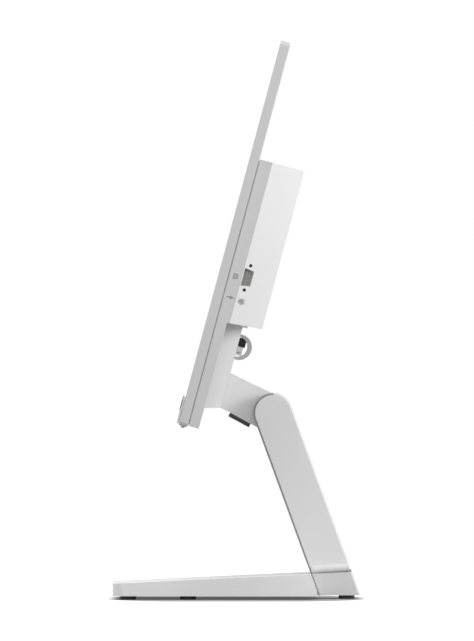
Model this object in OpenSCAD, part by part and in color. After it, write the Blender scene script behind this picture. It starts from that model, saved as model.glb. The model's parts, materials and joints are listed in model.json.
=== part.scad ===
// All-in-one desktop computer: a thin tilting display with the computer in its
// rear housing, carried by a leaning arm on a flat wedge base.
// Millimetres. +Z is up, the screen faces -Y, and the origin is on the ground
// under the middle of the foot. Head pieces are drawn upright, from the front
// face (y = 0) and the lower edge (z = 0) of the front frame, then tilted.

/* [Screen] */
// Width of the lit picture area
screen_w = 597.7; // [560:0.1:640]
// Height of the lit picture area
screen_h = 336.2; // [320:0.1:360]
// Bezel beside the picture
side_bezel = 8.15; // [6:0.05:14]
// Bezel above the picture
top_bezel = 8; // [6:0.1:14]
// Height of the chin below the picture
chin_h = 53; // [46:0.1:70]
// Thickness of the front section
front_t = 9.65; // [9:0.05:12]
// Wall of the front frame
frame_wall = 2; // [1.6:0.1:3]
// Lip of the frame over the glass
lip_t = 1.2; // [0.8:0.1:1.6]
// Thickness of the cover glass
glass_t = 1; // [0.7:0.1:1.2]
// Thickness of the panel that closes the frame behind
back_t = 1.5; // [1:0.1:2]
// Corner radius of the frame seen from the front
frame_r = 5; // [3:0.5:9]
// Rounding along the lower edge of the frame
chin_r = 3.2; // [1:0.1:4]
// Rounding along the top edge of the frame
top_r = 1; // [0.5:0.1:2]

/* [Rear cover] */
// How far the cover sits in from the frame at each side
cover_inset = 3; // [1:0.1:6]
// Lower edge of the cover above the frame's lower edge
cover_low = 2; // [0.5:0.1:6]
// Wall of the cover
cover_wall = 2.2; // [1.8:0.1:2.8]
// Shadow gap between the frame and the cover
reveal = 0.8; // [0.4:0.1:1.2]
// Depth of that shadow gap
reveal_depth = 1.6; // [0.8:0.1:1.6]
// Depth of the shallow lower tray
tray_depth = 11.15; // [10:0.05:14]
// Depth of the box's upright side before its bevel
side_depth = 13.85; // [12:0.05:18]
// Depth of the box
box_depth = 46.55; // [44:0.05:56]
// Lower edge of the box above the frame's lower edge
box_low = 111.2; // [105:0.1:120]
// Height of the box
box_h = 166; // [162:0.5:190]
// Rise of the box's underside towards its back
ledge_rise = 3; // [0:0.1:5]
// Width of the stand boss below the box
boss_w = 236; // [180:1:300]
// Depth of the stand boss
boss_depth = 27.45; // [24:0.05:32]
// Lower edge of the stand boss
boss_low = 22.6; // [18:0.1:26]
// Slope of the stand boss's underside
boss_floor_slope = 15; // [0:0.5:20]
// Width of one vent slot
vent_w = 2.6; // [1.5:0.1:3]
// Pitch of the vent slots
vent_pitch = 5.2; // [4.6:0.1:8]

/* [Tilt hinge] */
// Tilt of the screen as it stands
tilt = 15; // [10:0.5:18]
// Hinge axis behind the screen's front face
hinge_setback = 89.2; // [86:0.1:110]
// Hinge axis above the frame's lower edge
hinge_rise = 35.4; // [32:0.1:40]
// Diameter of the hinge shaft
shaft_d = 10; // [8:0.1:12]
// Radial running clearance on the shaft
shaft_fit = 0.05; // [0.02:0.01:0.1]
// Width of the neck between the arm's cheeks
neck_w = 61; // [56:0.5:72]
// Clearance beside the neck
neck_side_gap = 0.4; // [0.3:0.05:0.8]
// Radius of the neck's barrel
barrel_r = 19.4; // [18:0.1:19.6]
// Lower edge of the neck at the cover
neck_low = 26.8; // [25:0.1:29]
// Height of the neck at the cover
neck_h = 36.3; // [34:0.1:40]
// Fall of the neck's upper edge
neck_top_drop = 10.75; // [9:0.25:13]
// Fall of the neck's lower edge
neck_low_drop = 13.4; // [12:0.1:15]
// Length of the release latch
latch_l = 23.6; // [18:0.1:26]
// Width of the release latch
latch_w = 30; // [20:0.5:36]
// Height of the latch below the neck
latch_h = 4.2; // [3:0.1:5]
// Travel of the release latch
latch_travel = 3; // [1:0.1:3.5]

/* [Stand] */
// Height of the hinge axis above the ground
hinge_height = 187.7; // [175:0.1:220]
// Lean of the arm from upright
arm_lean = 20; // [16:0.5:22]
// Thickness of the arm
arm_t = 40; // [40:0.1:44]
// Thickness of one plastic cheek outside the strut
cheek_t = 10; // [9:0.1:14]
// Rounding along the arm's edges
arm_r = 2.4; // [1:0.1:4]
// Sheet thickness of the steel strut
strut_t = 4; // [3:0.1:5]
// Thickness of the arm's front cover and rim
arm_cover_t = 1.8; // [1.4:0.1:3]
// Gap between the arm and the heel
arm_gap = 0.8; // [0.5:0.1:4]
// Rounding under the arm's sides
arm_end_r = 5; // [2:0.1:8]
// Length of the foot from front to back
foot_l = 250; // [235:0.5:270]
// Width of the base
base_w = 240; // [200:1:280]
// Height of the base's front edge
base_front_h = 12.6; // [11:0.1:16]
// Slope of the base's top
base_slope = 2.72; // [2:0.02:4]
// Wall of the base shell
base_wall = 2.6; // [2:0.1:3.4]
// Thickness of the steel base plate
plate_t = 3; // [2:0.1:4]
// Corner radius of the base seen from above
base_r = 10; // [4:0.5:16]
// Height of the rubber feet
foot_h = 3.7; // [3:0.1:6]
// Diameter of a rubber foot
foot_d = 16; // [12:0.5:20]

/* [Electronics] */
// Thickness of the steel chassis plate
chassis_t = 1.2; // [1:0.1:1.6]
// Rear face of the mainboard behind the screen's front face
board_y = 34.9; // [33.5:0.1:36]
// Thickness of circuit boards
pcb_t = 1.6; // [1:0.1:1.6]
// Radius of the fan's impeller
fan_r = 30; // [24:0.5:32]
// Number of impeller blades
fan_blades = 19; // [9:2:25]
// Number of cooling fins
fin_count = 24; // [12:1:28]
// Distance between the screw locks of the serial port
serial_pitch = 25; // [24.6:0.1:25.4]
// Travel of the power button
button_travel = 0.8; // [0.3:0.1:1.2]

/* [Hidden] */
$fn = 48;

// Fits and small shared sizes
eps = 0.01;
fit = 0.15;
slide_fit = 0.3;
far = 1000;

// Front section
front_w = screen_w + 2 * side_bezel;
front_h = screen_h + top_bezel + chin_h;
panel_edge = 3;
panel_w = screen_w + 2 * panel_edge;
panel_h = screen_h + 2 * panel_edge;
panel_low = chin_h - panel_edge;
glass_back = lip_t + glass_t;
back_y = front_t - back_t;

// Rear cover
cover_hw = front_w / 2 - cover_inset;
tray_back = front_t + tray_depth;
side_back = front_t + side_depth;
box_back = front_t + box_depth;
boss_back = front_t + boss_depth;
box_top = box_low + box_h;
box_run = box_back - side_back;
boss_run = boss_back - tray_back;
inner_back = box_back - cover_wall;
inner_top = box_top - cover_wall;
bevel_shift = sqrt(2) - 1;
chassis_y = front_t + chassis_t;

// Cover screws: [across, up, face they sit in]
screw_r = 1.5;
screw_head_r = 2.9;
screw_head_t = 2;
screw_sink = 3;
screw_boss_r = 4;
screw_in = 64;
cover_screw_at = [
  for (s = [-1, 1])
    each [
      [s * (cover_hw - screw_in), box_top - 19, box_back],
      [s * (cover_hw - screw_in), box_low + 15, box_back],
      [s * (cover_hw - screw_in - 40), box_low - 51, tray_back]
    ]
];

// Hinge and stand
strut_w = neck_w + 2 * neck_side_gap + 2 * strut_t;
arm_w = strut_w + 2 * cheek_t;
arm_half = arm_t / 2;
base_low = foot_h;
hinge_y = foot_l / 2 - (hinge_height - base_low) * tan(arm_lean) - arm_half / cos(arm_lean);
slot_r = arm_half + 4.6;
ear_r = 13;
strut_half = 12;
nut_af_r = 9;
nut_t = 4;
washer_t = 1.2;
washer_r = 9;
shaft_stub = 0.8;
shaft_end = strut_w / 2 + washer_t + nut_t + shaft_stub;

// Neck bracket and its socket
bar_w = 40;
bar_t = 16;
bar_mid = neck_low + neck_h / 2;
bar_tip = chassis_y + 3;
socket_wall = 2.5;
tube_r = 11;

// Side ports, on the cover's bevel
port_in = 10;
port_depth = 6;
port_face = cover_hw - port_in;
port_seat = port_face - port_depth;
port_y = side_back + 5.4;
serial_rise = 48.6;
jack_rise = 23.9;
serial_z = box_low + serial_rise;
jack_z = box_low + jack_rise;
jack_r = 3.8;
jackpost_r = 2.4;
jackpost_l = 4;
lock_thread_r = 1.42;
pad_edge = 8;
pad_low = jack_z - pad_edge;
pad_high = serial_z + serial_pitch / 2 + pad_edge;

// Mainboard area
board_in = 70;
board_w = 172;
board_h = 119;
board_x1 = cover_hw - board_in;
board_x0 = board_x1 - board_w;
board_z0 = box_low + 4;
board_z1 = board_z0 + board_h;
board_front = board_y - pcb_t;
tray_gap = 3;
tray_t = 1.2;
tray_y = board_front - tray_gap;
port_low = box_low - 0.2;
lan_low = box_low + 2.4;
usb_pitch = 18;
usb_x = [for (i = [0 : 2]) board_x1 - 100 + i * usb_pitch];
hdmi_x = board_x1 - 40;
lan_x = board_x1 - 16;

// Fan
fan_x = 10;
fan_z = box_low + 89;
fan_front = 39.5;
fan_back = inner_back - 1;
fan_wall = 1.5;
fan_out = fan_r + 6.5;
fan_outlet_z = fan_z + 47;
axle_r = 1.5;
fin_y = 43.3;
fin_low = fan_outlet_z + 1;
fin_high = inner_top - 2;
pipe_w = 8;
pipe_t = 3;
pipe_z = (fin_low + fin_high) / 2;
cpu_x = board_x1 - 44;
cpu_z = box_low + 74;
cpu_t = 2.4;
cold_t = fin_y - pipe_t - board_y - cpu_t;

// Placement of the tilted head and of the leaning arm
module head() {
  translate([0, hinge_y, hinge_height])
    rotate([-tilt, 0, 0])
      translate([0, -hinge_setback, -hinge_rise])
        children();
}

module arm() {
  translate([0, hinge_y, hinge_height])
    rotate([arm_lean, 0, 0])
      children();
}

// Frame along the neck's lower edge: y runs back along it, z points into the neck
module neck_floor() {
  translate([0, boss_back, neck_low])
    rotate([-neck_low_drop, 0, 0])
      children();
}

// Shared shapes
module block(x0, x1, y0, y1, z0, z1) {
  translate([x0, y0, z0])
    cube([x1 - x0, y1 - y0, z1 - z0]);
}

// Outline in the side plane, drawn as [y, z] and stretched across the width
module across(w) {
  rotate([90, 0, 90])
    linear_extrude(w, center = true)
      children();
}

// Outline seen from the front, drawn as [x, z] and stretched from y0 to y1
module along_y(y0, y1) {
  translate([0, y1, 0])
    rotate([90, 0, 0])
      linear_extrude(y1 - y0)
        children();
}

module rod_x(r, x0, x1) {
  translate([x0, 0, 0])
    rotate([0, 90, 0])
      cylinder(r = r, h = x1 - x0);
}

module rod_y(r, y0, y1) {
  translate([0, y0, 0])
    rotate([-90, 0, 0])
      cylinder(r = r, h = y1 - y0);
}

module round_rect(w, h, r) {
  square([w - 2 * r, h], center = true);
  square([w, h - 2 * r], center = true);
  for (sx = [-1, 1], sy = [-1, 1])
    translate([sx * (w / 2 - r), sy * (h / 2 - r)])
      circle(r);
}

module at_xz(x, z) {
  translate([x, 0, z])
    children();
}

// Front section

module frame_outline() {
  translate([0, front_h / 2])
    round_rect(front_w, front_h, frame_r);
}

// Side profile of the front section: softer along the chin than along the top
module frame_profile() {
  translate([top_r, front_h - 2 * chin_r])
    square([front_t - 2 * top_r, 2 * chin_r]);
  translate([0, chin_r])
    square([front_t, front_h - chin_r - top_r]);
  translate([chin_r, 0])
    square([front_t - 2 * chin_r, 2 * chin_r]);
  for (y = [top_r, front_t - top_r])
    translate([y, front_h - top_r])
      circle(top_r);
  for (y = [chin_r, front_t - chin_r])
    translate([y, chin_r])
      circle(chin_r);
}

module back_outline(gap) {
  translate([0, front_h / 2])
    round_rect(front_w - 2 * frame_wall - 2 * gap, front_h - 2 * frame_wall - 2 * gap,
      frame_r - frame_wall);
}

module front_frame() {
  color("gainsboro")
    head()
      difference() {
        intersection() {
          along_y(0, front_t)
            frame_outline();
          across(front_w)
            frame_profile();
        }
        // Picture window
        block(-screen_w / 2, screen_w / 2, -1, far, chin_h, chin_h + screen_h);
        // Seat of the glass and the panel
        block(-panel_w / 2 - fit, panel_w / 2 + fit, lip_t, far, panel_low - fit, panel_low + panel_h + fit);
        // Room behind the chin
        block(-panel_w / 2, panel_w / 2, frame_wall, far, chin_r + frame_wall, panel_low);
        // Seat of the back panel
        along_y(back_y, far)
          back_outline(0);
        // Eye of the camera and guide of the power button
        at_xz(webcam_x, webcam_eye_z)
          rod_y(camera_r + fit, -1, far);
        button_guide(slide_fit);
      }
}

module screen_glass() {
  color([0.03, 0.03, 0.035])
    head()
      block(-panel_w / 2, panel_w / 2, lip_t, glass_back, panel_low, panel_low + panel_h);
}

// Backlit panel: a shallow tray with a stepped rim
module lcd_module() {
  rim = 6;
  step = 1.2;
  color("darkgray")
    head()
      difference() {
        block(-panel_w / 2, panel_w / 2, glass_back, back_y, panel_low, panel_low + panel_h);
        difference() {
          block(-far, far, back_y - step, far, -far, far);
          block(-panel_w / 2 + rim, panel_w / 2 - rim, 0, far, panel_low + rim, panel_low + panel_h - rim);
        }
      }
}

module back_panel() {
  color("whitesmoke")
    head()
      difference() {
        along_y(back_y, front_t)
          back_outline(fit);
        cable_slot(back_y, far);
      }
}

// Timing board of the panel, on the back panel behind the chin
module panel_driver_board() {
  half = 100;
  low = 12;
  color("darkgreen")
    head() {
      block(-half, half, back_y - pcb_t, back_y, low, panel_low - 6);
      for (x = [-60, 0, 60])
        block(x - 7, x + 7, back_y - pcb_t - 1, back_y - pcb_t, low + 10, low + 24);
    }
}

// Webcam bar on the chin, on a gasket, with a window over its upper half
webcam_x = 0;
webcam_w = 64;
webcam_h = 28;
webcam_r = 4;
webcam_low = 0.4;
webcam_out = 3;
webcam_taper = 1;
gasket_t = 0.7;
gasket_in = 0.5;
window_t = 0.8;
window_h = 14.6;
camera_r = 4;
webcam_high = webcam_low + webcam_h;
window_low = webcam_high - window_h;
webcam_eye_z = window_low + window_h / 2;

module webcam_outline() {
  translate([webcam_x, webcam_low + webcam_h / 2])
    round_rect(webcam_w, webcam_h, webcam_r);
}

module webcam_profile() {
  polygon([
    [-gasket_t, webcam_low], [-webcam_out + webcam_taper, webcam_low], [-webcam_out, window_low],
    [-webcam_out, webcam_high], [-gasket_t, webcam_high]
  ]);
}

module webcam_housing() {
  color("gainsboro")
    head()
      difference() {
        intersection() {
          translate([webcam_x, 0, 0])
            across(webcam_w)
              webcam_profile();
          along_y(-webcam_out, -gasket_t)
            webcam_outline();
        }
        block(-far, far, -far, -webcam_out + window_t, window_low, far);
        at_xz(webcam_x, webcam_eye_z)
          rod_y(camera_r + fit, -far, far);
      }
}

module webcam_window() {
  color([0.05, 0.05, 0.06])
    head()
      intersection() {
        along_y(-webcam_out, -webcam_out + window_t)
          webcam_outline();
        block(-far, far, -far, far, window_low, far);
      }
}

module webcam_gasket() {
  low = chin_r + fit;
  high = webcam_high - gasket_in;
  color([0.12, 0.12, 0.13])
    head()
      difference() {
        translate([webcam_x, 0, (low + high) / 2])
          along_y(-gasket_t, 0)
            round_rect(webcam_w - 2 * gasket_in, high - low, webcam_r - gasket_in);
        at_xz(webcam_x, webcam_eye_z)
          rod_y(camera_r + fit, -far, far);
      }
}

// Camera can with its lens barrel, behind the window
module webcam_camera() {
  flange_r = camera_r + 2.5;
  color("dimgray")
    head()
      at_xz(webcam_x, webcam_eye_z)
        difference() {
          union() {
            rod_y(camera_r, -webcam_out + window_t, frame_wall + 1);
            rod_y(flange_r, frame_wall, back_y - pcb_t - 1.2);
          }
          rod_y(camera_r / 2, -far, -webcam_out + window_t + 1);
        }
}

// Power button in the lower edge of the frame
button_x = 250;
button_y = front_t / 2;
button_l = 16;
button_w = 4.6;
button_out = 1.6;
button_lug = 2;
button_lug_t = 1;
guide_top = chin_r + frame_wall;
button_top = guide_top + slide_fit + button_lug_t;

module button_pill(l, w, z0, z1) {
  translate([button_x, button_y, z0])
    linear_extrude(z1 - z0)
      round_rect(l, w, w / 2 - eps);
}

module button_guide(gap) {
  button_pill(button_l + 2 * gap, button_w + 2 * gap, -far, guide_top + eps);
}

// A round-nosed key with lugs that hold it behind its guide
module power_button() {
  nose_r = button_w / 2;
  color("silver")
    head() {
      intersection() {
        button_pill(button_l, button_w, -button_out, button_top);
        translate([button_x, button_y, 0])
          across(button_l) {
            translate([0, nose_r - button_out])
              circle(nose_r);
            translate([-nose_r, nose_r - button_out])
              square([button_w, far]);
          }
      }
      button_pill(button_l + 2 * button_lug, button_w, guide_top + slide_fit, button_top);
    }
}

// Tact switch on its small board, above the button
module power_switch_board() {
  switch_half = 2.5;
  switch_t = 3;
  board_half = 15;
  low = button_top + button_travel + fit;
  color("darkgreen")
    head() {
      block(button_x - switch_half, button_x + switch_half, button_y - switch_half, button_y + switch_half,
        low, low + switch_t);
      block(button_x - board_half, button_x + board_half, frame_wall, back_y - fit,
        low + switch_t, low + switch_t + pcb_t);
    }
}

// Rear housing

// Plan of the box, [x, y], its walls moved in by gap
module box_plan(gap) {
  hw = cover_hw - gap;
  corner_y = side_back - bevel_shift * gap;
  back_x = cover_hw - box_run - bevel_shift * gap;
  polygon([
    [-hw, 0], [-hw, corner_y], [-back_x, box_back - gap],
    [back_x, box_back - gap], [hw, corner_y], [hw, 0]
  ]);
}

// Side profile of the box, [y, z], its walls moved in by gap
module box_profile(gap) {
  polygon([
    [0, box_low + gap], [tray_back, box_low + gap], [box_back - gap, box_low + ledge_rise + gap],
    [box_back - gap, box_top - gap], [0, box_top - gap]
  ]);
}

module box_form(gap) {
  intersection() {
    linear_extrude(far)
      box_plan(gap);
    across(far)
      box_profile(gap);
  }
}

module boss_plan(gap) {
  hw = boss_w / 2 - bevel_shift * gap;
  polygon([
    [-hw - gap, tray_back - gap], [-hw + boss_run - gap, boss_back - gap],
    [hw - boss_run + gap, boss_back - gap], [hw + gap, tray_back - gap],
    [hw + gap, chassis_y], [-hw - gap, chassis_y]
  ]);
}

module boss_profile(gap) {
  rise = boss_run * tan(boss_floor_slope);
  polygon([
    [chassis_y, boss_low + gap], [tray_back, boss_low + gap], [boss_back, boss_low + rise + gap],
    [boss_back, box_low + cover_wall + 1], [chassis_y, box_low + cover_wall + 1]
  ]);
}

module boss_form(gap) {
  intersection() {
    linear_extrude(far)
      boss_plan(gap);
    across(far)
      boss_profile(gap);
  }
}

module tray_form(gap) {
  block(-cover_hw + gap, cover_hw - gap, 0, tray_back - gap, cover_low + gap, box_top - gap);
}

module cover_form(gap) {
  tray_form(gap);
  box_form(gap);
  boss_form(gap);
}

// Slots side by side across x, cut from y0 to y1 and from z0 to z1
module slot_row(x_mid, count, y0, y1, z0, z1) {
  for (i = [0 : count - 1])
    let (x = x_mid + (i - (count - 1) / 2) * vent_pitch)
      block(x - vent_w / 2, x + vent_w / 2, y0, y1, z0, z1);
}

module cover_vents() {
  // Hot air leaves upwards, above the cooling fins
  slot_row(fan_x, top_vents, fin_y + 1, box_back - cover_wall - 2, inner_top - 1, far);
  // Cool air comes in behind the fan and the board
  for (row = [0, 1])
    let (z = box_low + 54 + row * (vent_slot_h + vent_gap)) {
      slot_row(fan_x, rear_vents, inner_back - 1, far, z, z + vent_slot_h);
      slot_row(rear_vent_x, rear_vents, inner_back - 1, far, z, z + vent_slot_h);
    }
  // Sound leaves below the speakers
  for (s = [-1, 1])
    slot_row(s * speaker_x, sound_slots, chassis_y + 1, tray_back - cover_wall - 1, -far, cover_low + cover_wall + 1);
}

top_vents = 13;
rear_vents = 13;
rear_vent_x = board_x0 + 88;
vent_slot_h = 32;
vent_gap = 8;
sound_slots = 14;
speaker_x = 205;

// Shell outline of the serial port, [y, z], wider towards the screen
module serial_outline(gap) {
  half_l = 8.45 + gap;
  half_w = 4.15 + gap;
  draft = 1.4;
  polygon([
    [-half_w, -half_l], [half_w, -half_l + draft], [half_w, half_l - draft], [-half_w, half_l]
  ]);
}

module at_port(z) {
  translate([0, port_y, z])
    children();
}

// Openings for the side ports, sunk sideways into the bevel
module side_port_cuts() {
  at_port(serial_z) {
    translate([port_seat - 1, 0, 0])
      rotate([90, 0, 90])
        linear_extrude(far)
          serial_outline(0.5);
    for (s = [-1, 1])
      translate([0, 0, s * serial_pitch / 2]) {
        rod_x(jackpost_r + slide_fit, port_seat - 1, port_seat + jackpost_l + slide_fit);
        rod_x(lock_thread_r + slide_fit, port_seat, far);
      }
  }
  at_port(jack_z)
    rod_x(jack_r + slide_fit, port_seat - 1, far);
}

// Thick pad inside the bevel that the side ports seat against
module side_port_pad() {
  intersection() {
    block(port_seat, far, chassis_y, port_y + 9, pad_low, pad_high);
    box_form(0);
  }
}

module ledge_port_cuts() {
  for (x = usb_x)
    block(x - usb_w / 2 - slide_fit, x + usb_w / 2 + slide_fit, board_y - slide_fit, board_y + usb_t + slide_fit,
      box_low - 5, box_low + 8);
  block(hdmi_x - hdmi_w / 2 - slide_fit, hdmi_x + hdmi_w / 2 + slide_fit, board_y - slide_fit,
    board_y + hdmi_t + slide_fit, box_low - 5, box_low + 8);
  block(lan_x - lan_w / 2 - slide_fit, lan_x + lan_w / 2 + slide_fit, board_y - slide_fit,
    board_y + lan_t + slide_fit, box_low - 5, box_low + 8);
}

usb_w = 13.2;
usb_t = 7;
usb_l = 17.5;
hdmi_w = 15;
hdmi_t = 6;
hdmi_l = 12;
lan_w = 16.2;
lan_t = 13.5;
lan_l = 21.3;

module neck_window() {
  block(-bar_w / 2 - slide_fit, bar_w / 2 + slide_fit, boss_back - 2 * cover_wall, far,
    bar_mid - bar_t / 2 - slide_fit, bar_mid + bar_t / 2 + slide_fit);
}

module rear_cover() {
  color("whitesmoke")
    head()
      difference() {
        union() {
          difference() {
            cover_form(0);
            cover_form(cover_wall);
          }
          for (p = cover_screw_at)
            at_xz(p[0], p[1])
              rod_y(screw_boss_r, chassis_y, p[2] - eps);
          side_port_pad();
        }
        // Open front, with a shadow gap round the outside
        block(-far, far, -far, front_t, -far, far);
        difference() {
          block(-far, far, 0, front_t + reveal, -far, far);
          block(-cover_hw + reveal_depth, cover_hw - reveal_depth, 0, far,
            cover_low + reveal_depth, box_top - reveal_depth);
        }
        for (p = cover_screw_at)
          at_xz(p[0], p[1]) {
            rod_y(screw_r + 0.1, 0, far);
            rod_y(screw_head_r + slide_fit, p[2] - screw_sink, far);
          }
        cover_vents();
        side_port_cuts();
        ledge_port_cuts();
        neck_window();
      }
}

module cover_screws() {
  color("gray")
    head()
      for (p = cover_screw_at)
        at_xz(p[0], p[1])
          difference() {
            union() {
              rod_y(screw_r, chassis_y, p[2] - screw_sink + eps);
              rod_y(screw_head_r, p[2] - screw_sink, p[2] - screw_sink + screw_head_t);
            }
            rod_y(1.1, p[2] - screw_sink + screw_head_t - 1, far);
          }
}

module chassis_plate() {
  edge = 6;
  color("lightgray")
    head()
      difference() {
        block(-cover_hw + edge, cover_hw - edge, front_t, chassis_y, cover_low + edge, box_top - edge);
        cable_slot(0, far);
        // Lightening windows clear of the seats
        for (s = [-1, 1])
          block(s * 120 - 30, s * 120 + 30, 0, far, box_low - 70, box_low - 30);
      }
}

slot_x0 = board_x0 - 26;
slot_x1 = slot_x0 + 3.6;
cable_w = 20;
cable_z = box_low + 89;

module cable_slot(y0, y1) {
  block(slot_x0, slot_x1, y0, y1, cable_z - cable_w / 2 - 1, cable_z + cable_w / 2 + 1);
}

// Computer

// Folded sheet that lifts the mainboard off the chassis
module board_tray() {
  edge = 2;
  foot = 8;
  x0 = board_x0 + edge;
  x1 = board_x1 - edge;
  z0 = board_z0 + edge;
  z1 = board_z1 - edge;
  color("silver")
    head() {
      block(x0, x1, tray_y - tray_t, tray_y, z0, z1);
      block(x0, x0 + tray_t, chassis_y, tray_y, z0, z1);
      block(x1 - tray_t, x1, chassis_y, tray_y, z0, z1);
      block(x0, x0 + foot, chassis_y, chassis_y + tray_t, z0, z1);
      block(x1 - foot, x1, chassis_y, chassis_y + tray_t, z0, z1);
    }
}

post_inset = 8;
post_r = 2.5;
board_posts = [
  for (x = [board_x0 + post_inset, board_x1 - post_inset], z = [board_z0 + post_inset, board_z1 - post_inset])
    [x, z]
];

module board_standoffs() {
  color("goldenrod")
    head()
      for (p = board_posts)
        at_xz(p[0], p[1])
          rod_y(post_r, tray_y, board_front);
}

module mainboard() {
  color("darkgreen")
    head()
      difference() {
        block(board_x0, board_x1, board_front, board_y, board_z0, board_z1);
        for (p = board_posts)
          at_xz(p[0], p[1])
            rod_y(screw_r, 0, far);
      }
}

// Sockets on the board and the cards that plug into them, flat above the board
card_t = 0.8;
memory_t = 1.2;
memory_w = 68;
memory_h = 30;
memory_x = board_x0 + 15;
memory_z = [board_z0 + 25, board_z0 + 61];
memory_lift = 2.1;
socket_h = 5;
socket_d = 6;
plug_in = 4;
card_lift = 2.4;
ssd_l = 80;
card_w = 22;
ssd_x = board_x0 + 18;
ssd_z = board_z1 - card_w - 1;
wifi_l = 30;
wifi_x = board_x0 + 20;
wifi_z = board_z0 + 2;
cell_x = board_x0 + 96;
cell_z = board_z0 + 35;
cell_r = 10;
cell_t = 3.2;
holder_t = 1.5;
header_t = 1.6;
header_x = board_x0 + 4;

module card_socket(x, z) {
  difference() {
    block(x - plug_in, x + socket_d - plug_in, board_y, board_y + socket_h - 0.8, z, z + card_w);
    block(x, far, board_y + card_lift - fit, board_y + card_lift + card_t + fit, -far, far);
  }
}

module board_connectors() {
  color([0.12, 0.12, 0.13])
    head() {
      for (z = memory_z)
        difference() {
          block(memory_x - 1, memory_x + memory_w + 1, board_y, board_y + socket_h, z, z + socket_d);
          block(-far, far, board_y + memory_lift - fit, board_y + memory_lift + memory_t + fit,
            z + socket_d - plug_in - fit, far);
        }
      card_socket(ssd_x, ssd_z);
      card_socket(wifi_x, wifi_z);
      at_xz(ssd_x + ssd_l - post_r, ssd_z + card_w / 2)
        rod_y(post_r, board_y, board_y + card_lift);
      at_xz(wifi_x + wifi_l - post_r, wifi_z + card_w / 2)
        rod_y(post_r, board_y, board_y + card_lift);
      at_xz(cell_x, cell_z)
        rod_y(cell_r + 1, board_y, board_y + holder_t);
      block(header_x, header_x + 8, board_y, board_y + header_t, cable_z - cable_w / 2 - 2, cable_z + cable_w / 2 + 2);
    }
}

module memory_modules() {
  chip_t = 1;
  color("seagreen")
    head()
      for (z = memory_z)
        let (low = z + socket_d - plug_in) {
          block(memory_x, memory_x + memory_w, board_y + memory_lift, board_y + memory_lift + memory_t,
            low, low + memory_h);
          for (i = [0 : 3])
            block(memory_x + 4 + i * 16, memory_x + 15 + i * 16, board_y + memory_lift + memory_t,
              board_y + memory_lift + memory_t + chip_t, low + 11, low + 24);
        }
}

module ssd_card() {
  chip_t = 1.2;
  color("midnightblue")
    head() {
      block(ssd_x, ssd_x + ssd_l, board_y + card_lift, board_y + card_lift + card_t, ssd_z, ssd_z + card_w);
      for (x = [ssd_x + 12, ssd_x + 34, ssd_x + 54])
        block(x, x + 16, board_y + card_lift + card_t, board_y + card_lift + card_t + chip_t,
          ssd_z + 4, ssd_z + card_w - 4);
    }
}

module wifi_card() {
  can_t = 1.4;
  color("darkslategray")
    head() {
      block(wifi_x, wifi_x + wifi_l, board_y + card_lift, board_y + card_lift + card_t, wifi_z, wifi_z + card_w);
      block(wifi_x + 7, wifi_x + 23, board_y + card_lift + card_t, board_y + card_lift + card_t + can_t,
        wifi_z + 3, wifi_z + card_w - 3);
    }
}

module coin_cell() {
  color("lightsteelblue")
    head()
      at_xz(cell_x, cell_z) {
        rod_y(cell_r, board_y + holder_t, board_y + holder_t + cell_t - 0.6);
        rod_y(cell_r - 1.2, board_y + holder_t + 1, board_y + holder_t + cell_t);
      }
}

module processor() {
  color("dimgray")
    head()
      block(cpu_x - 15, cpu_x + 15, board_y, board_y + cpu_t, cpu_z - 13, cpu_z + 13);
}

cold_half = 21;

module cold_plate() {
  color("peru")
    head()
      block(cpu_x - cold_half, cpu_x + cold_half, board_y + cpu_t, board_y + cpu_t + cold_t,
        cpu_z - cold_half, cpu_z + cold_half);
}

// Flattened pipe that runs up from the processor and across under the fins
pipe_bend = 16;
fin_half = fan_out;
fin_base = 1.5;
fin_t = 0.8;

module heat_pipe() {
  mid = cpu_x - pipe_bend;
  start_z = cpu_z - cold_half + 4;
  color("peru")
    head()
      along_y(fin_y - pipe_t, fin_y) {
        translate([cpu_x - pipe_w / 2, start_z])
          square([pipe_w, pipe_z - pipe_bend - start_z]);
        translate([mid, pipe_z - pipe_bend])
          intersection() {
            difference() {
              circle(pipe_bend + pipe_w / 2);
              circle(pipe_bend - pipe_w / 2);
            }
            square(far);
          }
        translate([fan_x - fin_half, pipe_z - pipe_w / 2])
          square([mid - fan_x + fin_half, pipe_w]);
      }
}

module cooling_fins() {
  pitch = (2 * fin_half - fin_t) / (fin_count - 1);
  color("silver")
    head() {
      block(fan_x - fin_half, fan_x + fin_half, fin_y, fin_y + fin_base, fin_low, fin_high);
      for (i = [0 : fin_count - 1])
        let (x = fan_x - fin_half + i * pitch)
          block(x, x + fin_t, fin_y, fan_back, fin_low, fin_high);
    }
}

// Blower: scroll housing with legs to the chassis, and a bladed impeller
module scroll(r, half, z_end) {
  translate([fan_x, fan_z])
    circle(r);
  translate([fan_x - half, fan_z])
    square([2 * half, z_end - fan_z]);
}

leg_r = 3;
fan_legs = [
  [fan_x - 28, fan_z - 20],
  [fan_x + 28, fan_z - 20],
  [fan_x, fan_z + 38]
];
hub_r = 12;
hub_gap = 0.4;
blade_t = 0.9;
blade_bend = 14;
blade_sweep = 35;
fan_floor = fan_front + fan_wall;

module fan_housing() {
  color([0.16, 0.16, 0.17])
    head() {
      difference() {
        along_y(fan_front, fan_back)
          scroll(fan_out, fan_out, fan_outlet_z);
        along_y(fan_floor, fan_back - fan_wall)
          scroll(fan_out - fan_wall, fan_out - fan_wall, far);
        at_xz(fan_x, fan_z)
          rod_y(fan_r - 6, fan_floor, far);
      }
      at_xz(fan_x, fan_z)
        rod_y(axle_r, fan_floor - eps, fan_back - fan_wall - 1.5);
      for (p = fan_legs)
        at_xz(p[0], p[1])
          rod_y(leg_r, chassis_y, fan_front + eps);
    }
}

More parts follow.
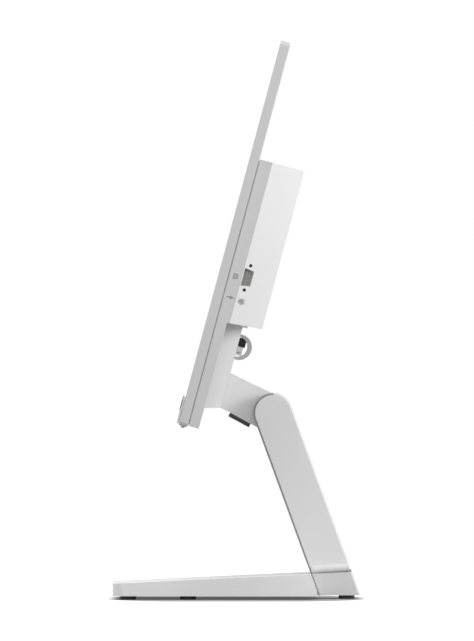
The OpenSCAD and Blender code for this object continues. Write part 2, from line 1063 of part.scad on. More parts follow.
// One blade is an arc of constant bend from the hub to the rim, drawn in [x, y]
function blade_mid() = (
  let (
    a = [hub_r - 0.5, 0],
    b = fan_r * [cos(blade_sweep), sin(blade_sweep)],
    half = norm(b - a) / 2,
    along = (b - a) / norm(b - a),
    away = sqrt(blade_bend * blade_bend - half * half)
  )
  (a + b) / 2 + away * [along[1], -along[0]]
);

module blade(h) {
  c = blade_mid();
  a = [hub_r - 0.5, 0] - c;
  b = fan_r * [cos(blade_sweep), sin(blade_sweep)] - c;
  from = atan2(b[1], b[0]);
  sweep = (atan2(a[1], a[0]) - from + 360) % 360;
  translate(c)
    rotate([0, 0, from])
      rotate_extrude(angle = sweep)
        translate([blade_bend - blade_t / 2, 0])
          square([blade_t, h]);
}

module fan_impeller() {
  low = fan_floor + hub_gap;
  high = fan_back - fan_wall - 0.8;
  color([0.1, 0.1, 0.11])
    head()
      translate([fan_x, low, fan_z])
        rotate([-90, 0, 0])
          difference() {
            union() {
              cylinder(r = hub_r, h = high - low);
              for (i = [0 : fan_blades - 1])
                rotate([0, 0, i * 360 / fan_blades])
                  blade(high - low - 0.6);
            }
            translate([0, 0, -1])
              cylinder(r = axle_r + shaft_fit, h = far);
          }
}

// Storage drive in its tray, on the chassis
drive_l = 100;
drive_w = 69.85;
drive_t = 7;
drive_x = -250;
drive_z = box_low + 40;
caddy_wall = 1.2;

module drive_caddy() {
  wall_in = fit + caddy_wall;
  color("silver")
    head()
      difference() {
        block(drive_x - wall_in, drive_x + drive_l + wall_in, chassis_y, chassis_y + caddy_wall + drive_t,
          drive_z - wall_in, drive_z + drive_w + wall_in);
        block(drive_x - fit, drive_x + drive_l + fit, chassis_y + caddy_wall, far, drive_z - fit, drive_z + drive_w + fit);
        // Open end for the drive's plug, and finger gaps at the middle of the sides
        block(drive_x + drive_l - 5, far, chassis_y + caddy_wall, far, drive_z + 10, drive_z + drive_w - 10);
        block(drive_x + 35, drive_x + 65, chassis_y + caddy_wall, far, -far, far);
      }
}

module hard_drive() {
  lid = 3;
  seat = chassis_y + caddy_wall;
  color("lightsteelblue")
    head()
      difference() {
        union() {
          block(drive_x, drive_x + drive_l, seat, seat + drive_t - 1, drive_z, drive_z + drive_w);
          block(drive_x + lid, drive_x + drive_l - lid, seat, seat + drive_t, drive_z + lid, drive_z + drive_w - lid);
        }
        block(drive_x + drive_l - 6, far, seat + 1, seat + 5, drive_z + 14, drive_z + drive_w - 20);
      }
}

// Side ports and their board

flange_t = 1.2;
flange_half_y = 6.25;
flange_half_z = 15.4;
body_half_y = 5.1;

module side_io_board() {
  low = jack_z - 7;
  high = serial_z + flange_half_z;
  color("darkgreen")
    head()
      block(port_seat - 26, port_seat - 1.5, port_y + body_half_y, port_y + body_half_y + pcb_t, low, high);
}

// Nine-way serial port: shell with pins, flange, body and two screw locks
module serial_port() {
  shell_t = 0.5;
  pin_r = 0.5;
  pin_pitch = 2.77;
  row_half = 1.42;
  insert_t = 1.2;
  color("silver")
    head()
      at_port(serial_z) {
        difference() {
          union() {
            block(port_seat - flange_t, port_seat, -flange_half_y, flange_half_y, -flange_half_z, flange_half_z);
            translate([port_seat - eps, 0, 0])
              rotate([90, 0, 90])
                linear_extrude(port_face - port_seat)
                  serial_outline(0);
            block(port_seat - 13, port_seat - flange_t + eps, -body_half_y, body_half_y, -9.5, 9.5);
            for (s = [-1, 1])
              translate([0, 0, s * serial_pitch / 2])
                rod_x(jackpost_r, port_seat - flange_t, port_seat + jackpost_l);
          }
          translate([port_seat + insert_t, 0, 0])
            rotate([90, 0, 90])
              linear_extrude(far)
                serial_outline(-shell_t);
          for (s = [-1, 1])
            translate([0, 0, s * serial_pitch / 2])
              rod_x(lock_thread_r, port_seat, far);
        }
        for (row = [0, 1], i = [0 : 4 - row])
          translate([0, row_half * (2 * row - 1), (i - (4 - row) / 2) * pin_pitch])
            rod_x(pin_r, port_seat + insert_t - eps, port_face - 1);
      }
}

// Power inlet: barrel jack with its centre pin
module dc_jack() {
  bore_r = 2.9;
  pin_r = 0.85;
  body_half = 5;
  color([0.13, 0.13, 0.14])
    head()
      at_port(jack_z) {
        difference() {
          union() {
            rod_x(jack_r, port_seat - eps, port_face);
            block(port_seat - 13, port_seat, -body_half_y, body_half_y, -body_half, body_half);
          }
          rod_x(bore_r, port_seat - 6, far);
        }
        rod_x(pin_r, port_seat - 6 - eps, port_face - 1.5);
      }
}

// Ports under the ledge, open downwards

module lan_port() {
  socket_half = 5.85;
  socket_t = 8;
  notch_half = 3;
  notch_t = 2;
  wall = 1.2;
  depth = 13;
  color("silver")
    head()
      difference() {
        block(lan_x - lan_w / 2, lan_x + lan_w / 2, board_y, board_y + lan_t, lan_low, lan_low + lan_l);
        block(lan_x - socket_half, lan_x + socket_half, board_y + wall, board_y + wall + socket_t, -far, lan_low + depth);
        block(lan_x - notch_half, lan_x + notch_half, board_y + wall, board_y + wall + socket_t + notch_t,
          -far, lan_low + depth);
      }
}

// Shell of a flat port with a contact tongue down its middle
module tongue_port(x, w, t, l, depth, tongue_w, tongue_t) {
  wall = 0.5;
  difference() {
    block(x - w / 2, x + w / 2, board_y, board_y + t, port_low, port_low + l);
    difference() {
      block(x - w / 2 + wall, x + w / 2 - wall, board_y + wall, board_y + t - wall, -far, port_low + depth);
      block(x - tongue_w / 2, x + tongue_w / 2, board_y + t / 2 - tongue_t / 2, board_y + t / 2 + tongue_t / 2,
        port_low + 0.6, far);
    }
  }
}

module hdmi_port() {
  color("dimgray")
    head()
      tongue_port(hdmi_x, hdmi_w, hdmi_t, hdmi_l, 8, 11, 1.2);
}

module usb_ports() {
  color("silver")
    head()
      for (x = usb_x)
        tongue_port(x, usb_w, usb_t, usb_l, 9, 11.1, 1.8);
}

// Speakers, firing down through the slots in the tray
speaker_half = 45;
speaker_h = 22;
speaker_t = 6.5;

module speaker(x) {
  low = cover_low + cover_wall + slide_fit;
  color([0.15, 0.15, 0.16])
    head()
      difference() {
        translate([x, 0, low + speaker_h / 2])
          along_y(chassis_y, chassis_y + speaker_t)
            round_rect(2 * speaker_half, speaker_h, 4);
        // Cone mouth
        translate([x, chassis_y + speaker_t / 2, low - 1])
          linear_extrude(4)
            round_rect(2 * speaker_half - 24, speaker_t - 2, (speaker_t - 2) / 2 - eps);
      }
}

module speaker_left() {
  speaker(-speaker_x);
}

module speaker_right() {
  speaker(speaker_x);
}

// Film antennas under the cover's top wall
module antennas() {
  film_t = 0.4;
  film_l = 40;
  film_w = 8;
  film_x = 170;
  color("darkgoldenrod")
    head()
      for (s = [-1, 1])
        block(s * film_x - film_l / 2, s * film_x + film_l / 2, tray_back, tray_back + film_w,
          inner_top - film_t, inner_top);
}

// Flat cable from the board header, over the board's edge, to the back of the panel
module display_cable() {
  cable_t = 0.5;
  fold_x = board_x0 - 8;
  drop_x = slot_x0 + 1.6;
  top = board_y + header_t;
  z0 = cable_z - cable_w / 2;
  z1 = cable_z + cable_w / 2;
  color("tan")
    head() {
      block(fold_x, header_x + 6, top, top + cable_t, z0, z1);
      block(fold_x, fold_x + cable_t, chassis_y, top + cable_t, z0, z1);
      block(drop_x, fold_x + cable_t, chassis_y, chassis_y + cable_t, z0, z1);
      block(drop_x, drop_x + cable_t, back_y, chassis_y + cable_t, z0, z1);
    }
}

// Neck and what sits on the stand boss

socket_flange_w = 80;
socket_flange_h = 40;
socket_flange_t = 2;
socket_screw_at = [for (sx = [-1, 1], sz = [-1, 1]) [sx * 32, bar_mid + sz * 14]];
socket_screw_head_t = 2.2;

// Steel sleeve on the chassis that the neck's bar plugs into
module stand_socket() {
  hole_w = bar_w / 2 + fit;
  hole_t = bar_t / 2 + fit;
  color("gray")
    head()
      difference() {
        union() {
          block(-hole_w - socket_wall, hole_w + socket_wall, chassis_y, boss_back - cover_wall - fit,
            bar_mid - hole_t - socket_wall, bar_mid + hole_t + socket_wall);
          block(-socket_flange_w / 2, socket_flange_w / 2, chassis_y, chassis_y + socket_flange_t,
            bar_mid - socket_flange_h / 2, bar_mid + socket_flange_h / 2);
        }
        block(-hole_w, hole_w, chassis_y + socket_flange_t, far, bar_mid - hole_t, bar_mid + hole_t);
        for (p = socket_screw_at)
          at_xz(p[0], p[1])
            rod_y(screw_r + 0.1, 0, far);
      }
}

module socket_screws() {
  color("gray")
    head()
      for (p = socket_screw_at)
        at_xz(p[0], p[1]) {
          rod_y(screw_r, chassis_y, chassis_y + socket_flange_t + eps);
          rod_y(screw_head_r, chassis_y + socket_flange_t, chassis_y + socket_flange_t + socket_screw_head_t);
        }
}

// Bar from the socket to the hinge tube, [y, z]
module bar_outline(gap) {
  half = bar_t / 2 + gap;
  knee = boss_back + 3;
  polygon([
    [bar_tip, bar_mid - half], [knee, bar_mid - half], [hinge_setback, hinge_rise - half],
    [hinge_setback, hinge_rise + half], [knee, bar_mid + half], [bar_tip, bar_mid + half]
  ]);
}

module at_hinge() {
  translate([0, hinge_setback, hinge_rise])
    children();
}

module neck_bracket() {
  color("gray")
    head()
      difference() {
        union() {
          across(bar_w)
            bar_outline(0);
          at_hinge()
            rod_x(tube_r, -neck_w / 2, neck_w / 2);
        }
        at_hinge()
          rod_x(shaft_d / 2 + shaft_fit, -far, far);
      }
}

neck_tail = 3;

module neck_outline() {
  tail = hinge_setback + neck_tail;
  run = tail - boss_back;
  polygon([
    [boss_back, neck_low], [boss_back, neck_low + neck_h],
    [tail, neck_low + neck_h - run * tan(neck_top_drop)],
    [tail, neck_low - run * tan(neck_low_drop)]
  ]);
}

latch_start = 10.4;
latch_in = 4;

module latch_form(gap, z0, z1) {
  neck_floor()
    block(-latch_w / 2 - gap, latch_w / 2 + gap, latch_start - gap, latch_start + latch_l + gap, z0, z1);
}

module neck_shell() {
  color("gainsboro")
    head()
      difference() {
        union() {
          across(neck_w)
            neck_outline();
          at_hinge()
            rod_x(barrel_r, -neck_w / 2, neck_w / 2);
        }
        across(bar_w + 2 * fit)
          bar_outline(fit);
        at_hinge()
          rod_x(tube_r + fit, -far, far);
        latch_form(slide_fit, -far, latch_in + latch_travel + slide_fit);
      }
}

// Press-in release under the neck, with grip grooves across it
module release_latch() {
  groove_w = 1.2;
  groove_d = 0.7;
  color([0.22, 0.22, 0.23])
    head()
      difference() {
        latch_form(0, -latch_h, latch_in);
        neck_floor()
          for (i = [-1, 0, 1])
            let (y = latch_start + latch_l / 2 + i * 4)
              block(-latch_w / 2 + 3, latch_w / 2 - 3, y - groove_w / 2, y + groove_w / 2, -far, groove_d - latch_h);
      }
}

// Cable loop: a half ring that stands on the stand boss
loop_r = 13;
loop_hole_r = 10;
loop_out = 1.8;
loop_w = 16;
loop_z = box_low - 20.6;

module cable_loop() {
  color("darkgray")
    head()
      across(loop_w)
        difference() {
          translate([boss_back + loop_out, loop_z])
            circle(loop_r);
          translate([boss_back, loop_z])
            circle(loop_hole_r);
          translate([boss_back - far, loop_z - far])
            square([far, 2 * far]);
        }
}

// Cable lock point beside the loop: a black block with its slot, on a pale plate
lock_x = -28;
lock_w = 14;
lock_h = 9;
lock_out = 7.5;
lock_z = box_low - 20;
lock_slot_w = 7;
lock_slot_h = 3;
lock_slot_back = 2.5;
plate_out = 6;
plate_h = 9;
plate_slit_h = 1.8;
plate_slit_low = 1.6;

module lock_block() {
  color([0.08, 0.08, 0.09])
    head()
      difference() {
        block(lock_x - lock_w / 2, lock_x + lock_w / 2, boss_back, boss_back + lock_out, lock_z, lock_z + lock_h);
        translate([lock_x, 0, lock_z + lock_h / 2])
          along_y(boss_back + lock_slot_back, far)
            round_rect(lock_slot_w, lock_slot_h, lock_slot_h / 2 - eps);
      }
}

module lock_plate() {
  slit_z = lock_z - plate_h + plate_slit_low;
  color("whitesmoke")
    head()
      difference() {
        block(lock_x - lock_w / 2, lock_x + lock_w / 2, boss_back, boss_back + plate_out, lock_z - plate_h, lock_z);
        block(lock_x, far, boss_back + 1, far, slit_z, slit_z + plate_slit_h);
      }
}

// Stand

module hinge_shaft() {
  color("silver")
    arm()
      rod_x(shaft_d / 2, -shaft_end, shaft_end);
}

module hinge_washers() {
  color("darkgray")
    arm()
      for (s = [0, 1])
        mirror([s, 0, 0])
          difference() {
            rod_x(washer_r, strut_w / 2, strut_w / 2 + washer_t);
            rod_x(shaft_d / 2 + shaft_fit, 0, far);
          }
}

module hinge_nuts() {
  color("gray")
    arm()
      for (s = [0, 1])
        mirror([s, 0, 0])
          difference() {
            translate([strut_w / 2 + washer_t, 0, 0])
              rotate([0, 90, 0])
                cylinder(r = nut_af_r, h = nut_t, $fn = 6);
            rod_x(shaft_d / 2 + shaft_fit, 0, far);
          }
}

// Rounded bar of the arm: a full round end on the hinge axis and a straight run below it
module arm_solid() {
  rotate([0, 90, 0])
    rotate_extrude() {
      translate([0, -arm_w / 2])
        square([arm_half - arm_r, arm_w]);
      translate([0, -arm_w / 2 + arm_r])
        square([arm_half, arm_w - 2 * arm_r]);
      for (s = [-1, 1])
        translate([arm_half - arm_r, s * (arm_w / 2 - arm_r)])
          circle(arm_r);
    }
  translate([0, 0, -hinge_height / cos(arm_lean) - arm_t])
    linear_extrude(hinge_height / cos(arm_lean) + arm_t)
      round_rect(arm_w, arm_t, arm_r);
}

// Height of the base's top line at y
function base_top(y) = base_low + base_front_h + (y + foot_l / 2) * tan(base_slope);

// Everything below the base's top line, moved up by lift
module below_top(lift) {
  across(far)
    polygon([
      [-far, base_top(-far) + lift], [far, base_top(far) + lift], [far, -far], [-far, -far]
    ]);
}

// Everything above the base's top line and the arm's gap, rounded along its two lower edges
module above_base() {
  translate([0, 0, base_top(0) + arm_gap])
    rotate([90 + base_slope, 0, 0])
      linear_extrude(2 * far, center = true) {
        translate([-arm_w / 2, arm_end_r])
          square([arm_w, far]);
        translate([arm_end_r - arm_w / 2, 0])
          square([arm_w - 2 * arm_end_r, 2 * arm_end_r]);
        for (s = [-1, 1])
          translate([s * (arm_w / 2 - arm_end_r), arm_end_r])
            circle(arm_end_r);
      }
}

arm_back_wall = 3;
cover_drop = 15.5;
strut_room = strut_w / 2 + fit;

// Strip along the front of the arm: a full-width cover, and a rim round the front of each cheek
module front_strip() {
  rim_back = arm_half * sin(arm_lean);
  difference() {
    union() {
      block(-far, far, -far, arm_cover_t - arm_half, -far, eps);
      difference() {
        block(-far, far, -far, rim_back, 0, far);
        rod_x(arm_half - arm_cover_t, -far, far);
      }
    }
    block(-strut_room, strut_room, -far, far, -cover_drop, far);
  }
}

module arm_shell() {
  color("gainsboro")
    intersection() {
      arm()
        difference() {
          arm_solid();
          // Room for the strut, open to the front
          block(-strut_room, strut_room, -far, arm_half - arm_back_wall, -far, 0);
          // Slot that the neck swings in
          rod_x(slot_r, -strut_room, strut_room);
          // Pockets for the hinge nuts
          rod_x(nut_af_r + slide_fit, -shaft_end - slide_fit, shaft_end + slide_fit);
          front_strip();
        }
      above_base();
    }
}

module arm_front_cover() {
  color("darkgray")
    intersection() {
      arm()
        intersection() {
          arm_solid();
          front_strip();
        }
      above_base();
    }
}

// Folded steel channel with two ears that carry the shaft
module arm_strut() {
  ear_x = strut_w / 2 - strut_t;
  color("gray")
    difference() {
      arm() {
        difference() {
          for (s = [0, 1])
            mirror([s, 0, 0])
              translate([ear_x + strut_t / 2, 0, 0])
                across(strut_t) {
                  circle(ear_r);
                  translate([-strut_half, -far])
                    square([2 * strut_half, far]);
                }
          rod_x(shaft_d / 2 + shaft_fit, -far, far);
        }
        block(-ear_x - eps, ear_x + eps, strut_half - strut_t, strut_half, -far, -slot_r - 2);
      }
      block(-far, far, -far, far, -far - far, base_low + plate_t);
    }
}

heel_seam = 0.4;
tongue_w = strut_w + 2;
tongue_end = foot_l / 2 - 7;

module heel_block() {
  deep = strut_half + fit;
  color("darkgray")
    difference() {
      intersection() {
        arm()
          arm_solid();
        below_top(0);
        block(-far, far, -far, far, base_low, far);
      }
      arm()
        block(-strut_room, strut_room, -deep, deep, -far, far);
      block(-tongue_w / 2 - fit, tongue_w / 2 + fit, -far, tongue_end + fit, -far, base_low + plate_t);
    }
}

// Plan of the base with its round front corners, moved in by gap
module base_plan(gap) {
  r = base_r - gap;
  half = base_w / 2 - gap;
  front = gap - foot_l / 2;
  translate([-half, front + r])
    square([2 * half, foot_l]);
  translate([-half + r, front])
    square([2 * half - 2 * r, foot_l]);
  for (s = [-1, 1])
    translate([s * (half - r), front + r])
      circle(r);
}

// Wedge of the base, its sides and top moved in by gap, cut back to the heel's face
module base_form(gap) {
  difference() {
    linear_extrude(far)
      base_plan(gap);
    difference() {
      block(-far, far, -far, far, -far, far);
      below_top(-gap);
    }
    arm()
      block(-far, far, -arm_half - heel_seam - gap, far, -far, far);
  }
}

base_screw_in = 50;
base_screw_y = [30, 150];
base_screw_at = [
  for (sx = [-1, 1], y = base_screw_y)
    [sx * (base_w / 2 - base_screw_in), y - foot_l / 2]
];
base_screw_l = 7;
base_head_t = 1.5;
base_head_sink = 0.2;

module base_shell() {
  rib_t = 2;
  color("whitesmoke")
    difference() {
      union() {
        difference() {
          base_form(0);
          base_form(base_wall);
        }
        intersection() {
          base_form(0);
          union() {
            for (p = base_screw_at)
              translate([p[0], p[1], base_low + plate_t])
                cylinder(r = screw_boss_r, h = far);
            for (x = [-base_w / 4, 0, base_w / 4])
              block(x - rib_t / 2, x + rib_t / 2, -far, far, base_low + plate_t, far);
          }
        }
      }
      block(-far, far, -far, far, -far, base_low);
      // Way out for the plate's tongue
      block(-tongue_w / 2 - fit, tongue_w / 2 + fit, 0, far, -far, base_low + plate_t);
      for (p = base_screw_at)
        translate([p[0], p[1], 0])
          cylinder(r = screw_r + 0.1, h = base_low + plate_t + base_screw_l);
    }
}

module base_plate() {
  color("dimgray")
    difference() {
      union() {
        intersection() {
          base_form(base_wall + fit);
          block(-far, far, -far, far, base_low, base_low + plate_t);
        }
        block(-tongue_w / 2, tongue_w / 2, 0, tongue_end, base_low, base_low + plate_t);
      }
      for (p = base_screw_at)
        translate([p[0], p[1], 0])
          union() {
            cylinder(r = screw_r + fit, h = far);
            cylinder(r = screw_head_r + slide_fit, h = base_low + base_head_sink + base_head_t);
          }
    }
}

foot_in = 22;
foot_at = [
  for (s = [-1, 1])
    each [
      [s * (base_w / 2 - foot_in), 15.5 - foot_l / 2],
      [s * (base_w / 2 - foot_in), 76 - foot_l / 2],
      [s * (strut_w / 2 - foot_d / 2 - 2), foot_l / 2 - 14]
    ]
];

module base_feet() {
  soft = 1;
  color([0.14, 0.14, 0.15])
    for (p = foot_at)
      translate([p[0], p[1], 0]) {
        cylinder(r1 = foot_d / 2 - soft, r2 = foot_d / 2, h = soft);
        translate([0, 0, soft])
          cylinder(r = foot_d / 2, h = foot_h - soft);
      }
}

module base_screws() {
  shank = plate_t - base_head_sink + base_screw_l - 0.5;
  color("silver")
    for (p = base_screw_at)
      translate([p[0], p[1], base_low + base_head_sink]) {
        cylinder(r = screw_head_r, h = base_head_t);
        cylinder(r = screw_r, h = shank);
      }
}

front_frame();
screen_glass();
lcd_module();
back_panel();
panel_driver_board();
chassis_plate();
rear_cover();
cover_screws();
webcam_housing();
webcam_window();
webcam_gasket();
webcam_camera();
power_button();
power_switch_board();
board_tray();
board_standoffs();
mainboard();
board_connectors();
processor();
cold_plate();
heat_pipe();
cooling_fins();
fan_housing();
fan_impeller();
memory_modules();
ssd_card();
wifi_card();
coin_cell();
drive_caddy();
hard_drive();
side_io_board();
serial_port();
dc_jack();
lan_port();
hdmi_port();
usb_ports();
speaker_left();
speaker_right();
antennas();
display_cable();
stand_socket();
socket_screws();
neck_bracket();
neck_shell();
release_latch();
cable_loop();
lock_block();
lock_plate();
hinge_shaft();
hinge_washers();
hinge_nuts();
arm_strut();
arm_shell();
arm_front_cover();
heel_block();
base_shell();
base_plate();
base_feet();
base_screws();
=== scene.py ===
# %% [markdown]
# # A white all-in-one computer on a leaning arm
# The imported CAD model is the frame: every piece here ends up in metres, in the same place as the solid
# that it dresses. Shapes that are right keep their CAD mesh and only get a finish. Shapes whose edges
# a mould would leave soft get a copy with rounded edges, and small fittings are added on top.

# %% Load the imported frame
import json
import math

import bmesh
import bpy
from mathutils import Matrix, Vector


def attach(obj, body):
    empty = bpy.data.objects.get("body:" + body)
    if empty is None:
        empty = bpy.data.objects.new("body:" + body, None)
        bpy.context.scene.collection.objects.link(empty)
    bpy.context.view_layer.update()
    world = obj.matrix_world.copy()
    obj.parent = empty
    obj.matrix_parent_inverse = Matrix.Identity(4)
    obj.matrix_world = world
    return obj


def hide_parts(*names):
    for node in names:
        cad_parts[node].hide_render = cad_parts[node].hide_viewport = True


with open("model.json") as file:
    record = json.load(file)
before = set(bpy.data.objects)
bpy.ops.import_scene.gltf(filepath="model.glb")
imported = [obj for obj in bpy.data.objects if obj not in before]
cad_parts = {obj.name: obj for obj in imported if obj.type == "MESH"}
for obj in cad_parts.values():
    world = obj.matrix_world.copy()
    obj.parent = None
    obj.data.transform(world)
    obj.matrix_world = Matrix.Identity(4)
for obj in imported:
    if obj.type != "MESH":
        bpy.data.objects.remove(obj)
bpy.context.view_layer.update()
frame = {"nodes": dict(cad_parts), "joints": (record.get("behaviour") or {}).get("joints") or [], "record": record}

MM = 0.001

# %% [markdown]
# The display is drawn upright and then tilted about the hinge, so it is easiest to think of its
# details in that upright frame too: x across, y back from the screen's front face and z up from the
# frame's lower edge, all in millimetres. The joint in the record gives the hinge, and the fan's axis,
# which is square to the screen, gives the tilt.

# %% The tilted frame of the display
joints = {j["name"]: j for j in frame["joints"]}
hinge = Vector(joints["stand_tilt"]["pos_m"])
fan_axis = Vector(joints["fan_spin"]["axis"])
tilt = math.atan2(-fan_axis.z, fan_axis.y)
HINGE_SETBACK, HINGE_RISE = 89.2, 35.4
HEAD = (
    Matrix.Translation(hinge)
    @ Matrix.Rotation(-tilt, 4, "X")
    @ Matrix.Translation(Vector((0, -HINGE_SETBACK, -HINGE_RISE)) * MM)
    @ Matrix.Scale(MM, 4)
)
print("tilt in degrees:", round(math.degrees(tilt), 2))

# %% [markdown]
# The photograph is a level view of the right side, so flat that no lines run together. A long lens
# from far away gives that look. One pixel is one millimetre on the plane where the distance is
# measured, a little inside the display's near edge, because the long lens still enlarges what is
# nearer.

# %% Camera
FRAME_HEIGHT_PX = 641
LENS, SENSOR = 1200.0, 36.0
TRUE_PLANE_X = 0.235
MIDDLE_Y, MIDDLE_Z = 0.00025, 0.281
distance = FRAME_HEIGHT_PX * MM * LENS / SENSOR
camera_data = bpy.data.cameras.new("side_camera")
camera_data.lens = LENS
camera_data.sensor_width = SENSOR
camera_data.clip_end = 2 * distance
camera = bpy.data.objects.new("side_camera", camera_data)
camera.location = (TRUE_PLANE_X + distance, MIDDLE_Y, MIDDLE_Z)
camera.rotation_euler = (math.radians(90), 0, math.radians(90))
bpy.context.scene.collection.objects.link(camera)
bpy.context.scene.camera = camera
print("camera distance in metres:", round(distance, 2))

# %% [markdown]
# Each material is a small node tree. Two helpers carry all of them: one turns an sRGB hex value into
# the linear colour that the shader needs, and one adds a node, sets it up and links it.

# %% Node and colour helpers
def linear(hex_colour):
    """sRGB hex to linear RGBA."""
    levels = [int(hex_colour[i:i + 2], 16) / 255 for i in (1, 3, 5)]
    return [v / 12.92 if v <= 0.04045 else ((v + 0.055) / 1.055) ** 2.4 for v in levels] + [1.0]


def add_node(tree, kind, inputs, **settings):
    """Adds a node; an input is a value for the socket or another node's output to link."""
    made = tree.nodes.new(kind)
    for key, value in settings.items():
        setattr(made, key, value)
    for key, value in inputs.items():
        if isinstance(value, bpy.types.NodeSocket):
            tree.links.new(value, made.inputs[key])
        else:
            made.inputs[key].default_value = value
    return made


def new_material(name):
    """An empty material with its output, and the object coordinates that its patterns read."""
    material = bpy.data.materials.new(name)
    material.use_nodes = True
    tree = material.node_tree
    tree.nodes.clear()
    output = add_node(tree, "ShaderNodeOutputMaterial", {})
    place = add_node(tree, "ShaderNodeTexCoord", {}).outputs["Object"]
    return material, tree, output, place


def per_metre(size_mm):
    """Texture scale that makes one cell of a pattern size_mm wide."""
    return 1.0 / (size_mm * MM)


print("middle grey as a linear level:", round(linear("#808080")[0], 3))

# %% [markdown]
# ## White ABS
# The covers are injection-moulded ABS from a spark-eroded mould. The eye sees a soft sheen with no
# sharp reflection, a very fine grain, and a tone that drifts slightly over a large wall where the
# plastic cooled unevenly. The real grain is about 0.1 mm; it is drawn at about 1 mm so that it shows.

# %% Moulded plastics
DRIFT_MM = 90
SHEEN_SPREAD = 0.06


def moulded_plastic(name, tone, shade, roughness, grain_mm, grain_depth_mm):
    """tone and shade are the two ends of the slow drift in colour."""
    material, tree, output, place = new_material(name)
    drift = add_node(
        tree, "ShaderNodeTexNoise", {"Vector": place, "Scale": per_metre(DRIFT_MM), "Detail": 2.0},
    )
    colour = add_node(
        tree, "ShaderNodeMix",
        {"Factor": drift.outputs["Fac"], 6: linear(tone), 7: linear(shade)}, data_type="RGBA",
    )
    grain = add_node(
        tree, "ShaderNodeTexNoise", {"Vector": place, "Scale": per_metre(grain_mm), "Detail": 3.0},
    )
    sheen = add_node(
        tree, "ShaderNodeMapRange",
        {
            "Value": grain.outputs["Fac"],
            "To Min": roughness - SHEEN_SPREAD, "To Max": roughness + SHEEN_SPREAD,
        },
    )
    bump = add_node(
        tree, "ShaderNodeBump",
        {"Height": grain.outputs["Fac"], "Strength": 0.35, "Distance": grain_depth_mm * MM},
    )
    shader = add_node(
        tree, "ShaderNodeBsdfPrincipled",
        {
            "Base Color": colour.outputs[2], "Roughness": sheen.outputs["Result"],
            "Normal": bump.outputs["Normal"], "IOR": 1.53,
        },
    )
    tree.links.new(shader.outputs["BSDF"], output.inputs["Surface"])
    return material


# The arm, base and neck copies of white ABS are painted lighter, and the heel copy darker: light and shade painted
# into one plastic's tone. The camera bar takes the lighter neck copy.
white_abs = moulded_plastic("ABS white moulded satin", "#dcdcdc", "#d7d7d7", 0.48, 1.0, 0.05)
arm_abs_painted_lit = moulded_plastic("ABS white arm satin painted lighter", "#e8e8e8", "#e3e3e3", 0.46, 1.0, 0.05)
base_abs_painted_lit = moulded_plastic("ABS white base satin painted lighter", "#f4f4f4", "#f0f0f0", 0.44, 1.0, 0.05)
neck_abs_painted_lit = moulded_plastic("ABS white neck satin painted lighter", "#f2f2f2", "#eeeeee", 0.48, 1.0, 0.05)
grey_abs = moulded_plastic("ABS grey moulded satin", "#b4b4b4", "#adadad", 0.5, 1.0, 0.05)
# The dark grey trim is painted shade: it darkens the arm's front edge and a thin gap line where shade falls.
edge_abs_painted_shade = moulded_plastic("ABS dark grey painted edge shade", "#9e9e9f", "#979798", 0.5, 1.0, 0.05)
heel_abs_painted_shade = moulded_plastic("ABS white heel painted darker as shade", "#dadada", "#d3d3d3", 0.5, 1.0, 0.05)
black_abs = moulded_plastic("ABS black moulded", "#0d0d0e", "#0a0a0b", 0.45, 0.8, 0.05)
# The insert's pale grey is partly painted light: it stands in for the light on the sunk port's walls.
insert_pbt_lightened = moulded_plastic("PBT pale insert lightened for lit port walls", "#d4d4d2", "#cdcdcb", 0.5, 0.8, 0.04)
jack_pbt = moulded_plastic("PBT pale moulded", "#efefed", "#e9e9e6", 0.4, 0.8, 0.04)
port_lacquer = moulded_plastic("zinc alloy grey lacquered", "#cbcccc", "#c4c5c5", 0.5, 0.8, 0.02)
charcoal_pom = moulded_plastic("POM charcoal moulded", "#3c3c3d", "#353536", 0.4, 0.8, 0.04)
plastics = (
    white_abs, arm_abs_painted_lit, base_abs_painted_lit, neck_abs_painted_lit, grey_abs, edge_abs_painted_shade, heel_abs_painted_shade, black_abs, insert_pbt_lightened, jack_pbt,
    port_lacquer, charcoal_pom,
)
print("plastics:", [m.name for m in plastics])

# %% [markdown]
# ## Metals
# Fasteners and most port shells are plated steel. Plating is bright but never even: zinc shows a faint
# spangle of crystals, and a rolled or drawn part keeps fine lines along one direction.

# %% Plated and bare metals
CRYSTAL_GLOSS, CRYSTAL_DULL = 0.05, 0.07


def plated_metal(name, tone, shade, roughness, spangle_mm):
    """tone and shade are the two ends of the crystals' colours; the darker ones are duller."""
    material, tree, output, place = new_material(name)
    spangle = add_node(tree, "ShaderNodeTexVoronoi", {"Vector": place, "Scale": per_metre(spangle_mm)})
    level = add_node(tree, "ShaderNodeRGBToBW", {"Color": spangle.outputs["Color"]})
    colour = add_node(
        tree, "ShaderNodeMix",
        {"Factor": level.outputs["Val"], 6: linear(tone), 7: linear(shade)}, data_type="RGBA",
    )
    sheen = add_node(
        tree, "ShaderNodeMapRange",
        {
            "Value": level.outputs["Val"],
            "To Min": roughness - CRYSTAL_GLOSS, "To Max": roughness + CRYSTAL_DULL,
        },
    )
    shader = add_node(
        tree, "ShaderNodeBsdfPrincipled",
        {"Base Color": colour.outputs[2], "Roughness": sheen.outputs["Result"], "Metallic": 1.0},
    )
    tree.links.new(shader.outputs["BSDF"], output.inputs["Surface"])
    return material


